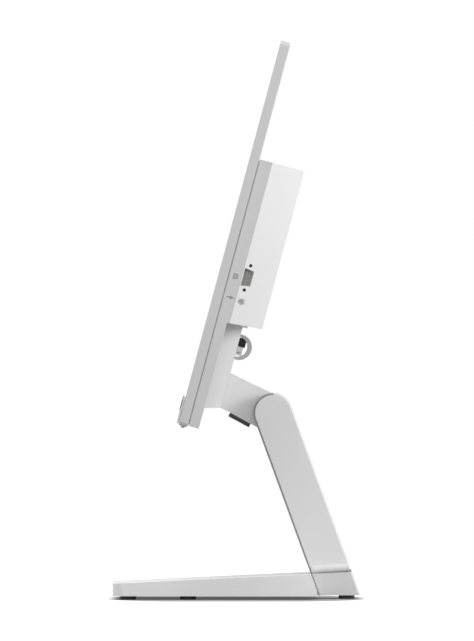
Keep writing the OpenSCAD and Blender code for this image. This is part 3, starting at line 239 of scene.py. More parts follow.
def drawn_metal(name, tone, shade, roughness, line_mm, stretch):
    """Fine lines along one direction: stretch shrinks the coordinates along the lines."""
    material, tree, output, place = new_material(name)
    along = add_node(tree, "ShaderNodeMapping", {"Vector": place, "Scale": stretch})
    lines = add_node(
        tree, "ShaderNodeTexNoise",
        {"Vector": along.outputs["Vector"], "Scale": per_metre(line_mm), "Detail": 4.0},
    )
    colour = add_node(
        tree, "ShaderNodeMix",
        {"Factor": lines.outputs["Fac"], 6: linear(tone), 7: linear(shade)}, data_type="RGBA",
    )
    bump = add_node(
        tree, "ShaderNodeBump",
        {"Height": lines.outputs["Fac"], "Strength": 0.2, "Distance": 0.02 * MM},
    )
    shader = add_node(
        tree, "ShaderNodeBsdfPrincipled",
        {
            "Base Color": colour.outputs[2], "Roughness": roughness, "Metallic": 1.0,
            "Normal": bump.outputs["Normal"],
        },
    )
    tree.links.new(shader.outputs["BSDF"], output.inputs["Surface"])
    return material


zinc_steel = plated_metal("steel zinc plated sheet", "#c4c5c6", "#aeb0b2", 0.36, 6.0)
nickel_steel = plated_metal("steel nickel plated fastener", "#c9c6c0", "#b4b1aa", 0.28, 1.2)
tin_steel = plated_metal("steel tin plated shell", "#cfd0d0", "#bdbebf", 0.3, 2.0)
black_steel = plated_metal("steel black zinc fastener", "#4a4a4c", "#3b3b3d", 0.42, 1.2)
gold = plated_metal("gold flash contact", "#e0b65c", "#d0a44c", 0.25, 1.0)
brass = drawn_metal("brass turned", "#cfa75a", "#bd9448", 0.3, 0.4, (1, 0.05, 1))
copper = drawn_metal("copper rolled", "#c98a63", "#b87650", 0.34, 0.5, (0.05, 1, 1))
aluminium = drawn_metal("aluminium rolled", "#c8cacc", "#b6b8ba", 0.34, 0.5, (1, 1, 0.05))
metals = (zinc_steel, nickel_steel, tin_steel, black_steel, gold, brass, copper, aluminium)
print("metals:", [m.name for m in metals])

# %% [markdown]
# ## Glass, boards, film and rubber
# The screen has an etched anti-glare face: nearly black, with a broad dim reflection. The camera's
# window is polished acrylic. Circuit boards are green or black solder mask over copper traces, which
# show as slightly raised, lighter lines. Rubber is matt with a dusty, broken sheen.

# %% Other finishes
ETCH_SPREAD = 0.04
WAVE_RADIANS = 20


def coated_face(name, tone, roughness, etch_mm, coat):
    """Dark glass or acrylic: a fine etch breaks the reflection, and a coat gives the polish."""
    material, tree, output, place = new_material(name)
    etch = add_node(
        tree, "ShaderNodeTexNoise", {"Vector": place, "Scale": per_metre(etch_mm), "Detail": 2.0},
    )
    sheen = add_node(
        tree, "ShaderNodeMapRange",
        {
            "Value": etch.outputs["Fac"],
            "To Min": max(0.0, roughness - ETCH_SPREAD), "To Max": roughness + ETCH_SPREAD,
        },
    )
    shader = add_node(
        tree, "ShaderNodeBsdfPrincipled",
        {
            "Base Color": linear(tone), "Roughness": sheen.outputs["Result"], "IOR": 1.5,
            "Coat Weight": coat, "Coat Roughness": 0.05,
        },
    )
    tree.links.new(shader.outputs["BSDF"], output.inputs["Surface"])
    return material


def solder_mask(name, mask, trace, radian_mm):
    """Bent bands as traces: radian_mm is the length of one radian of their wave."""
    material, tree, output, place = new_material(name)
    bands = add_node(
        tree, "ShaderNodeTexWave",
        {
            "Vector": place, "Scale": per_metre(radian_mm) / WAVE_RADIANS,
            "Distortion": 6.0, "Detail": 1.0,
        },
    )
    edge = add_node(
        tree, "ShaderNodeMapRange",
        {"Value": bands.outputs["Fac"], "From Min": 0.72, "From Max": 0.8},
    )
    colour = add_node(
        tree, "ShaderNodeMix",
        {"Factor": edge.outputs["Result"], 6: linear(mask), 7: linear(trace)}, data_type="RGBA",
    )
    bump = add_node(
        tree, "ShaderNodeBump",
        {"Height": edge.outputs["Result"], "Strength": 0.4, "Distance": 0.035 * MM},
    )
    shader = add_node(
        tree, "ShaderNodeBsdfPrincipled",
        {
            "Base Color": colour.outputs[2], "Roughness": 0.35,
            "Normal": bump.outputs["Normal"], "IOR": 1.5,
        },
    )
    tree.links.new(shader.outputs["BSDF"], output.inputs["Surface"])
    return material


screen_glass = coated_face("glass anti-glare etched", "#141518", 0.32, 0.9, 0.0)
camera_acrylic = coated_face("acrylic smoked polished", "#0b0b0d", 0.08, 4.0, 0.6)
lens_glass = coated_face("glass camera lens", "#06070c", 0.04, 4.0, 1.0)
green_board = solder_mask("solder mask green on FR4", "#14472f", "#2a6a48", 1.4)
dark_board = solder_mask("solder mask black on FR4", "#16181a", "#2b2f33", 1.2)
polyimide = moulded_plastic("polyimide film", "#b98b3e", "#a97a30", 0.35, 2.0, 0.01)
rubber = moulded_plastic("rubber nitrile matt", "#262627", "#1e1e1f", 0.78, 0.6, 0.06)
# The feet's grey is a lighter copy of the dark rubber: painted light that lifts the shade under the base.
foot_rubber_lightened = moulded_plastic("rubber grey moulded lightened against shade", "#7a7a7b", "#717172", 0.75, 0.6, 0.06)
grey_ink = moulded_plastic("ink grey pad printed", "#4a4a4b", "#424243", 0.6, 0.5, 0.01)
black_ink = moulded_plastic("ink black screen printed", "#08080a", "#0a0a0c", 0.5, 0.5, 0.01)
light_pipe = moulded_plastic("polycarbonate milky light pipe", "#eef3f6", "#e6ecf0", 0.3, 1.0, 0.01)
# The base plate's grey is partly its coat and partly painted light: lightened to lift the shade under the base.
shade_lifted_steel = moulded_plastic("steel grey powder coated lightened against shade", "#c4c4c5", "#bcbcbd", 0.6, 1.4, 0.08)
fan_pbt = moulded_plastic("PBT black glass filled", "#1d1d1f", "#17171a", 0.55, 0.8, 0.06)
filter_nylon = moulded_plastic("nylon dust mesh black", "#101011", "#0b0b0c", 0.7, 0.6, 0.08)
others = (
    screen_glass, camera_acrylic, lens_glass, green_board, dark_board, polyimide, rubber, foot_rubber_lightened,
    grey_ink, black_ink, light_pipe, shade_lifted_steel, fan_pbt, filter_nylon,
)
print("other finishes:", [m.name for m in others])

# %% [markdown]
# ## Light
# The studio light is plain. An even white world lights every side. One soft lamp stands behind the
# object to its right, as high as the box: it only grazes the side of the display, shines full on the
# bevel, which makes that the brightest face, and lets the box throw a short shadow on the stand boss.
# Two broad lamps, one high on the camera's side and one in front of the screen, keep the rest clear.

# %% World and lamps
bpy.context.scene.view_settings.view_transform = "Standard"


def seen_by_eye(tree):
    """1 for rays from the camera, through glass or off a gloss, and 0 for the light on the object."""
    rays = add_node(tree, "ShaderNodeLightPath", {}).outputs
    direct = add_node(
        tree, "ShaderNodeMath",
        {0: rays["Is Camera Ray"], 1: rays["Is Transmission Ray"]}, operation="MAXIMUM",
    )
    return add_node(
        tree, "ShaderNodeMath",
        {0: direct.outputs["Value"], 1: rays["Is Glossy Ray"]}, operation="MAXIMUM",
    ).outputs["Value"]


AMBIENT = 0.705
world = bpy.data.worlds.new("studio")
bpy.context.scene.world = world
world.use_nodes = True
world_tree = world.node_tree
world_tree.nodes.clear()
level = add_node(
    world_tree, "ShaderNodeMapRange",
    {"Value": seen_by_eye(world_tree), "To Min": AMBIENT, "To Max": 1.0},
)
sky = add_node(
    world_tree, "ShaderNodeBackground",
    {"Color": (1, 1, 1, 1), "Strength": level.outputs["Result"]},
)
add_node(world_tree, "ShaderNodeOutputWorld", {"Surface": sky.outputs["Background"]})


def soft_lamp(name, place, aim, width, power):
    """A square lamp; place, aim and width are in metres and power in watts."""
    lamp = bpy.data.lights.new(name, "AREA")
    lamp.shape = "SQUARE"
    lamp.size = width
    lamp.energy = power
    holder = bpy.data.objects.new(name, lamp)
    holder.location = place
    holder.rotation_euler = (Vector(aim) - Vector(place)).to_track_quat("-Z", "Y").to_euler()
    bpy.context.scene.collection.objects.link(holder)


soft_lamp("rear_lamp", (0.45, 0.9, 0.41), (0.1, 0.02, 0.25), 0.36, 5.2)
soft_lamp("side_lamp", (1.9, -0.4, 2.4), (0, 0, 0.3), 1.2, 14.0)
soft_lamp("front_lamp", (-0.4, -2.4, 1.3), (0, 0, 0.3), 1.8, 12.0)
print("lamps:", len(bpy.data.lights))

# %% [markdown]
# The floor is a sheet of paper. To the camera it glows as white as the background, except under the
# base and close round it, where a mask fades the glow nearly out and leaves the paper's own grey as a
# painted shadow round the base, with the lamps' real shadow in it. The fade starts at the base's rectangle.
# It is short at the front and back, where the photograph is white at once, and longer at the sides, where
# the painted shadow also narrows.

# %% Floor
FLOOR_SIZE = 3.0
BASE_HALF = Vector((120, 117, 0)) * MM
FADE = Vector((250, 20, 1)) * MM
TAPER = 0.36
# LEAST_GLOW is painted light: a little glow is kept in the painted shadow, under the base too.
LEAST_GLOW = 0.1
floor_bm = bmesh.new()
bmesh.ops.create_grid(floor_bm, x_segments=1, y_segments=1, size=FLOOR_SIZE)
floor_mesh = bpy.data.meshes.new("floor")
floor_bm.to_mesh(floor_mesh)
floor_bm.free()
floor = bpy.data.objects.new("floor", floor_mesh)
bpy.context.scene.collection.objects.link(floor)
paper, tree, output, place = new_material("paper white backdrop")
sheet = add_node(tree, "ShaderNodeBsdfDiffuse", {"Color": linear("#8e8e8e")})
mirrored = add_node(tree, "ShaderNodeVectorMath", {0: place}, operation="ABSOLUTE")
past_edges = add_node(
    tree, "ShaderNodeVectorMath", {0: mirrored.outputs["Vector"], 1: BASE_HALF}, operation="SUBTRACT",
)
# Here x is 0 within the base's width, and y stays below 0 between its ends until the taper raises it.
past_sides = add_node(
    tree, "ShaderNodeVectorMath", {0: past_edges.outputs["Vector"], 1: (0, -1, 0)}, operation="MAXIMUM",
)
past_ends = add_node(
    tree, "ShaderNodeVectorMath", {0: past_sides.outputs["Vector"], 1: (TAPER, 1, 0)},
    operation="DOT_PRODUCT",
)
sideways = add_node(tree, "ShaderNodeSeparateXYZ", {"Vector": past_sides.outputs["Vector"]})
past_both = add_node(
    tree, "ShaderNodeCombineXYZ", {"X": sideways.outputs["X"], "Y": past_ends.outputs["Value"]},
)
past_base = add_node(
    tree, "ShaderNodeVectorMath", {0: past_both.outputs["Vector"], 1: (0, 0, 0)}, operation="MAXIMUM",
)
reach = add_node(
    tree, "ShaderNodeVectorMath", {0: past_base.outputs["Vector"], 1: FADE}, operation="DIVIDE",
)
away = add_node(tree, "ShaderNodeVectorMath", {0: reach.outputs["Vector"]}, operation="LENGTH")
# The mask of the painted shadow: LEAST_GLOW round the base, rising to full glow beyond the fade.
painted_shadow_fade = add_node(
    tree, "ShaderNodeMapRange", {"Value": away.outputs["Value"], "To Min": LEAST_GLOW},
    interpolation_type="SMOOTHSTEP",
)
strength = add_node(
    tree, "ShaderNodeMath", {0: painted_shadow_fade.outputs["Result"], 1: seen_by_eye(tree)}, operation="MULTIPLY",
)
glow = add_node(
    tree, "ShaderNodeEmission", {"Color": (1, 1, 1, 1), "Strength": strength.outputs["Value"]},
)
both = add_node(tree, "ShaderNodeAddShader", {0: sheet.outputs["BSDF"], 1: glow.outputs["Emission"]})
tree.links.new(both.outputs["Shader"], output.inputs["Surface"])
floor_mesh.materials.append(paper)
print("floor width in metres:", floor.dimensions.x)

# %% [markdown]
# ## Soft edges
# A mould never leaves a knife edge, and the thin bright line along a rounded edge is what makes a
# plastic part look real. The CAD mesh is loose triangles, so a copy is merged, its flat faces are
# joined, and a bevel rounds the outer edges that are sharp. A Bevel modifier could round them too, but
# it would take inner corners and short facets as well. A Weighted Normal modifier keeps the big faces
# flat in the shading.

# %% Helpers for pieces
MERGE_MM, FLAT_WITHIN = 0.002, 0.5
ROUND_SEGMENTS, SHARPER_THAN = 3, 28
SMOOTH_BELOW = 35


def finish_piece(name, bm, material, body):
    """Writes the bmesh to an object at the origin that rides on a body."""
    mesh = bpy.data.meshes.new(name)
    bm.to_mesh(mesh)
    bm.free()
    made = bpy.data.objects.new(name, mesh)
    bpy.context.scene.collection.objects.link(made)
    mesh.materials.append(material)
    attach(made, body)
    return made


def smooth_by_angle(made):
    """Shades a piece smooth apart from its sharp edges, with its big faces flat."""
    for face in made.data.polygons:
        face.use_smooth = True
    made.data.set_sharp_from_angle(angle=math.radians(SMOOTH_BELOW))
    made.modifiers.new("flat_faces", "WEIGHTED_NORMAL").keep_sharp = True


body_of_node = {n: b for b, names in frame["record"]["behaviour"]["bodies"].items() for n in names}


def softened(node, material, radius_mm, shortest_mm=2.0):
    """Makes a copy of a CAD node with its outer edges rounded, which stands for the node."""
    bm = bmesh.new()
    bm.from_mesh(frame["nodes"][node].data)
    bmesh.ops.remove_doubles(bm, verts=bm.verts, dist=MERGE_MM * MM)
    bmesh.ops.dissolve_limit(bm, angle_limit=math.radians(FLAT_WITHIN), verts=bm.verts, edges=bm.edges)
    sharp = [
        e for e in bm.edges
        if len(e.link_faces) == 2 and e.calc_length() > shortest_mm * MM
        and e.calc_face_angle_signed(0.0) > math.radians(SHARPER_THAN)
    ]
    bmesh.ops.bevel(
        bm, geom=sharp, offset=radius_mm * MM, offset_type="OFFSET", affect="EDGES",
        segments=ROUND_SEGMENTS, profile=0.5, material=-1, clamp_overlap=True,
    )
    made = finish_piece(node + "_skin", bm, material, body_of_node[node])
    smooth_by_angle(made)
    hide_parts(node)
    print(node, "edges rounded:", len(sharp), "faces:", len(made.data.polygons))


print("pieces ride on:", sorted(set(body_of_node.values())))

# %% [markdown]
# The large white shells come first: the frame round the screen, the rear cover with its bevels, the
# camera bar, the neck, the arm and the base. Each has a radius of its own, in millimetres.

# %% White shells
softened("front_frame", white_abs, 0.4)
softened("rear_cover", white_abs, 0.8, shortest_mm=6.0)
# The camera bar, neck, arm and base take the copies of white ABS that are painted lighter.
softened("webcam_housing", neck_abs_painted_lit, 0.5)
softened("neck_shell", neck_abs_painted_lit, 0.8)
softened("arm_shell", arm_abs_painted_lit, 0.3)
softened("base_shell", base_abs_painted_lit, 1.2, shortest_mm=4.0)

# %% [markdown]
# The smaller pieces get the same treatment: the heel, the arm's front cover, the cable loop, the lock,
# the release latch and the power button.

# %% Smaller outer pieces
# The heel takes the copy of white ABS that is painted darker, as shade.
softened("heel_block", heel_abs_painted_shade, 0.5)
# The arm's front cover is dark grey as painted shade along the arm's front edge.
softened("arm_front_cover", edge_abs_painted_shade, 0.4)
softened("cable_loop", grey_abs, 0.9, shortest_mm=0.5)
softened("lock_plate", white_abs, 0.5)
softened("lock_block", black_abs, 0.5)
softened("release_latch", charcoal_pom, 0.5)
softened("power_button", grey_abs, 0.3)

# %% [markdown]
# ## Small fittings
# Small fittings are what the eye looks for up close: pins in a port, contacts, screw recesses, signs.
# Round ones are turned, as on a lathe: a profile is spun about an axis. Flat ones are an outline that
# is extruded and bevelled. A finished shape is then stamped wherever the part has one, so each shape
# is drawn once.

# %% Shapes of small fittings
POLE_MERGE_MM = 0.001


def turned(profile, steps=24, ring=False):
    """Spins (radius, height) points in millimetres about z; a ring's profile is closed on itself."""
    bm = bmesh.new()
    line = [bm.verts.new((radius, 0, height)) for radius, height in profile]
    following = line[1:] + line[:1] if ring else line[1:]
    edges = [bm.edges.new(pair) for pair in zip(line, following)]
    bmesh.ops.spin(
        bm, geom=line + edges, cent=(0, 0, 0), axis=(0, 0, 1), angle=math.tau, steps=steps,
        use_merge=True,
    )
    bmesh.ops.remove_doubles(bm, verts=bm.verts, dist=POLE_MERGE_MM)
    bmesh.ops.recalc_face_normals(bm, faces=bm.faces)
    return bm


def thicken(bm, height):
    """Extrudes flat faces up by height, so that they become a plate."""
    grown = bmesh.ops.extrude_face_region(bm, geom=bm.faces[:])["geom"]
    moved = [v for v in grown if isinstance(v, bmesh.types.BMVert)]
    bmesh.ops.translate(bm, vec=(0, 0, height), verts=moved)
    bmesh.ops.recalc_face_normals(bm, faces=bm.faces)


def raised(corners, height, soft):
    """Extrudes an outline of (x, y) points up by height and rounds its top edges by soft."""
    bm = bmesh.new()
    bm.faces.new([bm.verts.new((x, y, 0)) for x, y in corners])
    thicken(bm, height)
    top = [e for e in bm.edges if all(v.co.z > height / 2 for v in e.verts)]
    bmesh.ops.bevel(
        bm, geom=top, offset=soft, offset_type="OFFSET", affect="EDGES", segments=2, profile=0.5,
        material=-1,
    )
    return bm


def oblong(half_x, half_y):
    """The corners of a rectangle about the origin."""
    return [(-half_x, -half_y), (half_x, -half_y), (half_x, half_y), (-half_x, half_y)]


# %% [markdown]
# A fitting is one object, made of all its stamped shapes, that rides on a body. Its places are matrices.
# Those on the display go through its tilted frame, and those on the stand only turn millimetres into
# metres.

# %% Places of small fittings
def stamp(bm, shape, place):
    """Adds a copy of a finished shape to a piece, moved by a matrix."""
    copy = bpy.data.meshes.new("stamp")
    shape.to_mesh(copy)
    copy.transform(place)
    bm.from_mesh(copy)
    bpy.data.meshes.remove(copy)


def fitting(name, stamps, material, body):
    """Makes one piece from pairs of a shape and the places where it is stamped."""
    bm = bmesh.new()
    for shape, places in stamps:
        for place in places:
            stamp(bm, shape, place)
        shape.free()
    made = finish_piece(name, bm, material, body)
    smooth_by_angle(made)
    print(name, "faces:", len(made.data.polygons))
    return made


def at(x, y, z, turn=0.0):
    """A place in the display's upright frame, in millimetres, turned about x by degrees."""
    return HEAD @ Matrix.Translation((x, y, z)) @ Matrix.Rotation(math.radians(turn), 4, "X")


def on_stand(x, y, z):
    """A place on the stand, in millimetres."""
    return Matrix.Scale(MM, 4) @ Matrix.Translation((x, y, z))


print("the display's zero point:", [round(c, 4) for c in at(0, 0, 0).translation])

# %% [markdown]
# ## Side ports
# The serial port is a nine-pin plug. Its metal shell and flange are in the CAD model; the grey insert
# with a collar round each pin and the plated pins are added here, five in the row nearer the
# screen and four in the other. The port is sunk into the bevel and faces sideways, so the z of its own
# frame runs out to the side.

# %% Serial port
PORT_X, PORT_Y = 294.4, 28.9
SERIAL_Z = 159.8
INSERT_FLOOR, PIN_TIP = -5.2, -1.3
PIN_PITCH, PIN_ROW, PIN_R = 2.77, 1.42, 0.56
OUT_OF_PORT = Matrix(((0, 0, 1, 0), (0, 1, 0, 0), (-1, 0, 0, 0), (0, 0, 0, 1)))


def at_port(z, out, across=0.0, up=0.0):
    """A place in a side port: its z runs out of the port, its x down and its y back."""
    return HEAD @ Matrix.Translation((PORT_X + out, PORT_Y + across, z + up)) @ OUT_OF_PORT


pin_places = [
    at_port(SERIAL_Z, INSERT_FLOOR, row_side * PIN_ROW, (i - (count - 1) / 2) * PIN_PITCH)
    for row_side, count in ((-1, 5), (1, 4)) for i in range(count)
]
insert_outline = [(-7.85, -3.55), (7.85, -3.55), (6.45, 3.55), (-6.45, 3.55)]
collar_profile = [(0, 0.4), (1.05, 0.4), (0.9, 0.85), (0, 0.85)]
fitting(
    "serial_insert",
    [
        (raised(insert_outline, 0.5, 0.2), [at_port(SERIAL_Z, INSERT_FLOOR)]),
        (turned(collar_profile, steps=16), pin_places),
    ],
    insert_pbt_lightened, "display",
)
pin_length = PIN_TIP - INSERT_FLOOR
pin_profile = [(0, 0.1), (PIN_R, 0.1), (PIN_R, pin_length - 0.6), (0.3, pin_length), (0, pin_length)]
fitting(
    "serial_pins", [(turned(pin_profile, steps=12), pin_places)],
    nickel_steel, "display",
)

# %% [markdown]
# The power inlet is a round barrel socket: a plated pin stands in a pale collar. A white rim lines its
# mouth and ends just inside the slope of the bevel, where x and y of the display's frame always add up
# to the same sum. The rim is turned as a plain ring, and its outer end is then moved to the slope.

# %% Power inlet
JACK_Z = 135.1
JACK_FLOOR = -12.1
SIDE_FACE, BEVEL_START = 304.0, 23.5
BEVEL_SUM = SIDE_FACE + BEVEL_START
RIM_HOLE_R, RIM_R, RIM_BLANK, RIM_SET_IN = 2.9, 4.02, 8.0, 0.3
inlet_pin_profile = [(0, 0), (0.92, 0), (0.92, 9.6), (0.7, 10.2), (0, 10.3)]
fitting(
    "inlet_pin", [(turned(inlet_pin_profile, steps=16), [at_port(JACK_Z, JACK_FLOOR)])],
    nickel_steel, "display",
)
inlet_collar_profile = [(1.0, -4.0), (2.86, -4.0), (2.86, -1.3), (2.7, -1.2), (1.2, -1.3), (1.0, -1.5)]
fitting(
    "inlet_collar", [(turned(inlet_collar_profile, ring=True), [at_port(JACK_Z, 0)])],
    jack_pbt, "display",
)
rim_profile = [(RIM_HOLE_R, 0.0), (RIM_R, 0.0), (RIM_R, RIM_BLANK), (RIM_HOLE_R, RIM_BLANK)]
rim = turned(rim_profile, steps=48, ring=True)
for v in rim.verts:
    if v.co.z > RIM_BLANK / 2:
        v.co.z = BEVEL_SUM - PORT_X - PORT_Y - v.co.y
fitting("inlet_rim", [(rim, [at_port(JACK_Z, -RIM_SET_IN)])], white_abs, "display")

# %% [markdown]
# ## Roll and painted shade at the foot of the arm
# A soft roll runs round each side of the arm just above the gap to the heel, along the slope of the
# base's top. It is a turned bar with rounded ends, laid down and flattened. Under it a thin dark strip,
# in line with the arm's front cover, is painted shade in the gap that parts the heel from the base.

# %% Roll and painted heel gap shade
ARM_SIDE_X = 44.9
BASE_SLOPE, ARM_LEAN = 2.72, 20.0
ROLL_R, ROLL_HALF, ROLL_BULGE = 3.7, 19.6, 2.8
ROLL_Y, ROLL_Z = 94.6, 31.0
EDGE_HALF_L, EDGE_HALF_W, EDGE_T = 11.0, 0.65, 0.2
EDGE_Y, EDGE_Z = 79.2, 15.3


def beside_arm(side, y, z, turn):
    """A place on a side of the arm: its z runs outwards, and its y back and up by turn degrees."""
    lean = Matrix.Rotation(math.radians(turn), 4, "X")
    outwards = Matrix.Rotation(math.radians(side * 90), 4, "Y")
    return on_stand(side * ARM_SIDE_X, y, z) @ lean @ outwards


roll_end = [(0, 0), (ROLL_R - 1.2, 0), (ROLL_R - 0.4, 0.4), (ROLL_R, 1.2)]
roll_profile = [(radius, inset - ROLL_HALF) for radius, inset in roll_end]
roll_profile += [(radius, ROLL_HALF - inset) for radius, inset in reversed(roll_end)]
lying = Matrix.Diagonal((1, 1, ROLL_BULGE / ROLL_R, 1)) @ Matrix.Rotation(math.radians(90), 4, "X")
roll_places = [beside_arm(side, ROLL_Y, ROLL_Z, BASE_SLOPE) @ lying for side in (-1, 1)]
fitting("arm_roll", [(turned(roll_profile, steps=48), roll_places)], arm_abs_painted_lit, "stand")
# The dark grey strip is painted shade: it darkens the gap line between the heel and the base.
gap_shade_strip = raised(oblong(EDGE_HALF_L, EDGE_HALF_W), EDGE_T, 0.08)
gap_shade_places = [beside_arm(side, EDGE_Y, EDGE_Z, ARM_LEAN) for side in (-1, 1)]
fitting("heel_gap_shade", [(gap_shade_strip, gap_shade_places)], edge_abs_painted_shade, "stand")

# %% [markdown]
# ## Port signs
# Beside each side port the strip carries a small pad-printed sign. They are generic line signs: the
# outline of a nine-pin plug with its dots, and the line, ring and dot that mark a direct-current inlet.
# Ink has almost no thickness, so each stroke is a plate of a few hundredths of a millimetre on the face.

# %% Printed signs
INK, INK_SOFT = 0.06, 0.01
STROKE_HALF = 0.26
PLUG_SIGN_Z, PLUG_FRONT, PLUG_MIDDLE, PLUG_BACK = 158.2, 15.0, 17.0, 19.0
PLUG_DOTS = ((16.3, (-1.3, 0, 1.3)), (17.8, (-0.65, 0.65)))
POWER_SIGN_Y, POWER_SIGN_Z = 17.7, 136.6
SIDEWAYS = Matrix(((0, 0, 1, 0), (1, 0, 0, 0), (0, 1, 0, 0), (0, 0, 0, 1)))


def at_side(y, z):
    """A place on the display's right side: its x runs back, its y up and its z out."""
    return HEAD @ Matrix.Translation((SIDE_FACE - INK / 2, y, z)) @ SIDEWAYS


def ink_bar(half_x, half_y):
    return raised(oblong(half_x, half_y), INK, INK_SOFT)


def ink_dot(radius, steps):
    return turned([(0, 0), (radius, 0), (radius, INK), (0, INK)], steps=steps)


plug_ends = [
    at_side(PLUG_MIDDLE, PLUG_SIGN_Z + side * 2.2) @ Matrix.Rotation(-side * math.radians(8.5), 4, "Z")
    for side in (-1, 1)
]
fitting(
    "serial_sign",
    [
        (ink_bar(STROKE_HALF, 2.5), [at_side(PLUG_FRONT, PLUG_SIGN_Z)]),
        (ink_bar(STROKE_HALF, 1.9), [at_side(PLUG_BACK, PLUG_SIGN_Z)]),
        (ink_bar(2.05, STROKE_HALF), plug_ends),
        (ink_dot(0.48, 10), [at_side(y, PLUG_SIGN_Z + up) for y, ups in PLUG_DOTS for up in ups]),
    ],
    grey_ink, "display",
)
ink_ring = turned([(1.15, 0), (1.65, 0), (1.65, INK), (1.15, INK)], steps=24, ring=True)
fitting(
    "power_sign",
    [
        (ink_bar(1.35, 0.28), [at_side(POWER_SIGN_Y + side * 2.95, POWER_SIGN_Z) for side in (-1, 1)]),
        (ink_ring, [at_side(POWER_SIGN_Y, POWER_SIGN_Z)]),
        (ink_dot(0.55, 12), [at_side(POWER_SIGN_Y, POWER_SIGN_Z)]),
    ],
    grey_ink, "display",
)

# %% [markdown]
# ## Screen border
# A panel never lights right up to its frame: a black printed border shows between the picture and the
# bezel. It is a rectangle with an inset, whose middle is taken out and whose rest is made as thick as
# ink. A new face has no normal yet, and the inset needs one.

# %% Screen border
SCREEN_HALF_W, SCREEN_LOW, SCREEN_H, GLASS_FACE = 298.85, 53.0, 336.2, 1.2
BORDER_W, BORDER_GAP = 2.6, 0.05
border = bmesh.new()
picture_outline = oblong(SCREEN_HALF_W - BORDER_GAP, SCREEN_H / 2 - BORDER_GAP)
picture = border.faces.new([border.verts.new((x, z, 0)) for x, z in picture_outline])
picture.normal_update()
bmesh.ops.inset_region(
    border, faces=[picture], thickness=BORDER_W, use_boundary=True, use_even_offset=True,
)
bmesh.ops.delete(border, geom=[picture], context="FACES")
thicken(border, INK)
fitting(
    "screen_border", [(border, [at(0, GLASS_FACE, SCREEN_LOW + SCREEN_H / 2, 90)])],
    black_ink, "display",
)

# %% [markdown]
# ## Camera
# The camera behind the smoked window shows as a domed lens in a thin ring, with a small light beside it
# and a pin-hole microphone on each side. All are turned, with their axes square to the window.

# %% Camera, light and microphones
WINDOW_FACE, EYE_Z = -3.0, 21.1
LIGHT_X, MICROPHONE_X = 7.5, 16


def on_window(x):
    """A place on the camera's window: its z runs out to the front."""
    return at(x, WINDOW_FACE, EYE_Z, 90)


lens_profile = [(0, -0.1), (2.3, -0.1), (2.3, 0.02), (1.6, 0.1), (0.8, 0.14), (0, 0.15)]
fitting(
    "camera_lens", [(turned(lens_profile, steps=32), [on_window(0)])],
    lens_glass, "display",
)
ring_profile = [(2.3, -0.1), (3.0, -0.1), (3.0, 0.12), (2.8, 0.18), (2.45, 0.18), (2.3, 0.08)]
fitting(
    "camera_ring", [(turned(ring_profile, steps=32, ring=True), [on_window(0)])],
    charcoal_pom, "display",
)
light_profile = [(0, -0.1), (0.6, -0.1), (0.6, 0.04), (0, 0.06)]
fitting(
    "camera_light", [(turned(light_profile, steps=12), [on_window(LIGHT_X)])],
    light_pipe, "display",
)
hole_profile = [(0.45, -0.1), (0.8, -0.1), (0.75, 0.06), (0.5, 0.06)]
hole_places = [on_window(side * MICROPHONE_X) for side in (-1, 1)]
fitting(
    "microphone_rings", [(turned(hole_profile, steps=14, ring=True), hole_places)],
    charcoal_pom, "display",
)

# %% [markdown]
# ## Sockets under the ledge
# Each flat socket has a plastic tongue with gold contacts on one face, and the network socket has a
# comb of eight bent wires and two small lights. The tongues in the CAD model are part of the steel
# shell, so a moulded sleeve goes over each one.

# %% Tongues and contacts
USB_X, VIDEO_X, LAN_X = (134, 152, 170), 194, 218
BOARD_FACE, MOUTH_Z, LAN_MOUTH_Z = 34.9, 111.0, 113.6
USB_Y, VIDEO_Y = BOARD_FACE + 3.5, BOARD_FACE + 3.0
USB_ROOT_Z, VIDEO_ROOT_Z = MOUTH_Z + 8.6, MOUTH_Z + 7.6
USB_CONTACTS = (-3.5, -1, 1, 3.5)
VIDEO_PITCH, LAN_PITCH = 1.0, 1.02
LAN_LIGHT_X, LAN_LIGHT_Y = 5.6, BOARD_FACE + 11.9
fitting(
    "usb_tongues",
    [(raised(oblong(5.65, 1.0), 8.1, 0.25), [at(x, USB_Y, USB_ROOT_Z, 180) for x in USB_X])],
    black_abs, "display",
)
fitting(
    "hdmi_tongue",
    [(raised(oblong(5.6, 0.7), 7.1, 0.2), [at(VIDEO_X, VIDEO_Y, VIDEO_ROOT_Z, 180)])],
    black_abs, "display",
)
usb_contacts = [at(x + dx, USB_Y + 0.98, MOUTH_Z + 4.6, -90) for x in USB_X for dx in USB_CONTACTS]
video_contacts = [
    at(VIDEO_X + (i - 4.5) * VIDEO_PITCH, VIDEO_Y + 0.68, MOUTH_Z + 4.2, -90) for i in range(10)
]
lan_wires = [
    at(LAN_X + (i - 3.5) * LAN_PITCH, BOARD_FACE + 2.2, LAN_MOUTH_Z + 7, -70) for i in range(8)
]
fitting(
    "socket_contacts",
    [
        (raised(oblong(0.5, 3.2), 0.1, 0.03), usb_contacts),
        (raised(oblong(0.23, 2.6), 0.1, 0.03), video_contacts),
        (raised(oblong(0.2, 5.0), 0.3, 0.08), lan_wires),
    ],
    gold, "display",
)
lan_lights = [
    at(LAN_X + side * LAN_LIGHT_X, LAN_LIGHT_Y, LAN_MOUTH_Z + 0.35, 180) for side in (-1, 1)
]
fitting(
    "network_lights", [(raised(oblong(1.5, 0.9), 0.5, 0.15), lan_lights)],
    light_pipe, "display",
)

# %% [markdown]
# ## Screws with a cross recess
# A screw is a turned head and shank. Its cross recess could be cut with a Boolean, which often leaves
# slivers. Here it is what is left between four small posts in a round pocket: a disc is cut down to one
# quarter with two planes, extruded, and stamped four times.

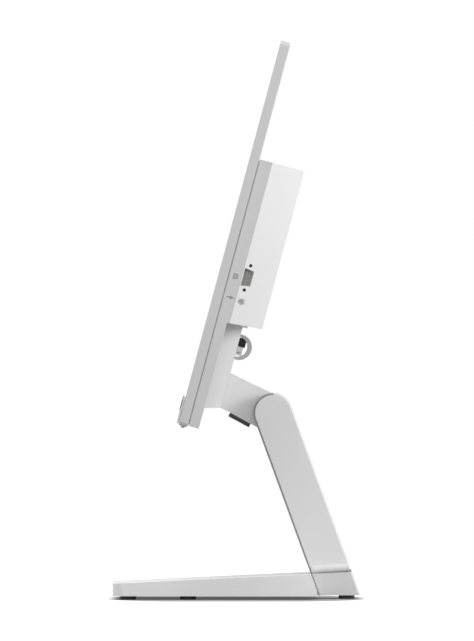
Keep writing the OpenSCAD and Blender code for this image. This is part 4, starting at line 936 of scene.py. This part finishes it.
# %% Screws
def cross_screw(head_t, shank_l):
    """A pan-head screw along z, its head's face at height 0."""
    head_r, shank_r, pocket_r, pocket_d, slot_half = 2.85, 1.45, 1.1, 0.95, 0.27
    screw = turned([
        (0, -pocket_d), (pocket_r, -pocket_d), (pocket_r, -0.05), (pocket_r + 0.1, 0), (head_r - 0.5, 0),
        (head_r - 0.15, -0.15), (head_r, -0.5), (head_r, -head_t), (shank_r, -head_t),
        (shank_r, -head_t - shank_l), (0, -head_t - shank_l),
    ])
    post = bmesh.new()
    bmesh.ops.create_circle(post, cap_ends=True, radius=pocket_r, segments=24)
    for normal in ((1, 0, 0), (0, 1, 0)):
        bmesh.ops.bisect_plane(
            post, geom=post.verts[:] + post.edges[:] + post.faces[:], plane_co=(slot_half, slot_half, 0),
            plane_no=normal, clear_inner=True,
        )
    thicken(post, pocket_d - 0.05)
    for quarter in range(4):
        turn = Matrix.Rotation(math.radians(90 * quarter), 4, "Z")
        stamp(screw, post, Matrix.Translation((0, 0, -pocket_d)) @ turn)
    post.free()
    return screw


COVER_SCREW_X, COVER_SCREW_Y, COVER_SCREW_ROWS = 240, 55.2, (258.2, 126.2)
TRAY_SCREW_X, TRAY_SCREW_Y, TRAY_SCREW_Z = 200, 19.8, 60.2
COVER_HEAD_T, COVER_SHANK_L, TRAY_SHANK_L = 1.95, 42.3, 6.9
cover_places = [at(s * COVER_SCREW_X, COVER_SCREW_Y, z, -90) for s in (-1, 1) for z in COVER_SCREW_ROWS]
tray_places = [at(s * TRAY_SCREW_X, TRAY_SCREW_Y, TRAY_SCREW_Z, -90) for s in (-1, 1)]
screws = fitting(
    "cover_screws_cross",
    [
        (cross_screw(COVER_HEAD_T, COVER_SHANK_L), cover_places),
        (cross_screw(COVER_HEAD_T, TRAY_SHANK_L), tray_places),
    ],
    black_steel, "display",
)
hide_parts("cover_screws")
BASE_SCREW_X, BASE_SCREW_ROWS, BASE_SCREW_FACE = 70, (-95, 25), 3.9
BASE_HEAD_T, BASE_SHANK_L = 1.45, 7.7
head_down = Matrix.Rotation(math.pi, 4, "X")
base_places = [
    on_stand(s * BASE_SCREW_X, y, BASE_SCREW_FACE) @ head_down for s in (-1, 1) for y in BASE_SCREW_ROWS
]
base_screws = fitting(
    "base_screws_cross", [(cross_screw(BASE_HEAD_T, BASE_SHANK_L), base_places)],
    black_steel, "stand",
)
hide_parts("base_screws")

# %% [markdown]
# ## Feet, dust mesh and button light
# The feet are turned from rubber with a moulded groove, so that they grip as a ring. A black nylon
# sheet behind the rear slots keeps dust out; its weave is too fine to show, so its material has only a
# rough grain. The power button has a small milky light in its nose.

# %% Feet, mesh and light
FOOT_SPOTS = ((98, -109.5), (98, -49), (24.9, 111))
MESH_X, MESH_Y, MESH_Z = (10, 150), 53.4, 201.2
MESH_HALF_W, MESH_HALF_H = 36, 38
BUTTON_X, BUTTON_Y, BUTTON_NOSE_Z = 250, 4.825, -1.2
foot_profile = [
    (0, 0.3), (2.6, 0.3), (3.0, 0.0), (4.6, 0.0), (4.9, 0.35), (5.5, 0.35), (5.8, 0.0), (7.3, 0.0),
    (7.9, 0.5), (8.0, 0.9), (8.0, 3.7), (0, 3.7),
]
foot_places = [on_stand(s * x, y, 0) for s in (-1, 1) for x, y in FOOT_SPOTS]
feet = fitting(
    "grip_feet", [(turned(foot_profile, steps=40), foot_places)],
    foot_rubber_lightened, "stand",
)
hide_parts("base_feet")
mesh_places = [at(x, MESH_Y, MESH_Z, -90) for x in MESH_X]
fitting(
    "dust_mesh", [(raised(oblong(MESH_HALF_W, MESH_HALF_H), 0.3, 0.1), mesh_places)],
    filter_nylon, "display",
)
fitting(
    "button_light",
    [(raised(oblong(2.6, 0.4), 0.5, 0.15), [at(BUTTON_X, BUTTON_Y, BUTTON_NOSE_Z, 180)])],
    light_pipe, "power_button",
)

# %% [markdown]
# Everything else keeps its CAD mesh and gets a finish that suits what it is. Most of it is inside the
# housing, but it shows when a cover is taken off or the part is cut open.

# %% Finishes of the CAD nodes
finish_of = {
    screen_glass: ["screen_glass"],
    camera_acrylic: ["webcam_window"],
    white_abs: ["back_panel"],
    zinc_steel: [
        "chassis_plate", "board_tray", "stand_socket", "neck_bracket", "arm_strut", "drive_caddy",
        "lcd_module",
    ],
    shade_lifted_steel: ["base_plate"],
    nickel_steel: ["socket_screws", "hinge_shaft", "hinge_washers", "hinge_nuts", "coin_cell"],
    port_lacquer: ["serial_port"],
    tin_steel: ["lan_port", "hdmi_port", "usb_ports"],
    aluminium: ["cooling_fins", "hard_drive"],
    copper: ["cold_plate", "heat_pipe"],
    brass: ["board_standoffs"],
    green_board: [
        "mainboard", "panel_driver_board", "power_switch_board", "side_io_board", "memory_modules",
        "wifi_card",
    ],
    dark_board: ["ssd_card", "processor"],
    polyimide: ["antennas", "display_cable"],
    fan_pbt: ["fan_housing", "fan_impeller", "speaker_left", "speaker_right"],
    black_abs: ["board_connectors", "webcam_camera"],
    jack_pbt: ["dc_jack"],
    rubber: ["webcam_gasket"],
}
for material, names in finish_of.items():
    for name in names:
        mesh = frame["nodes"][name].data
        mesh.materials.clear()
        mesh.materials.append(material)
print("CAD nodes finished:", sum(len(names) for names in finish_of.values()))
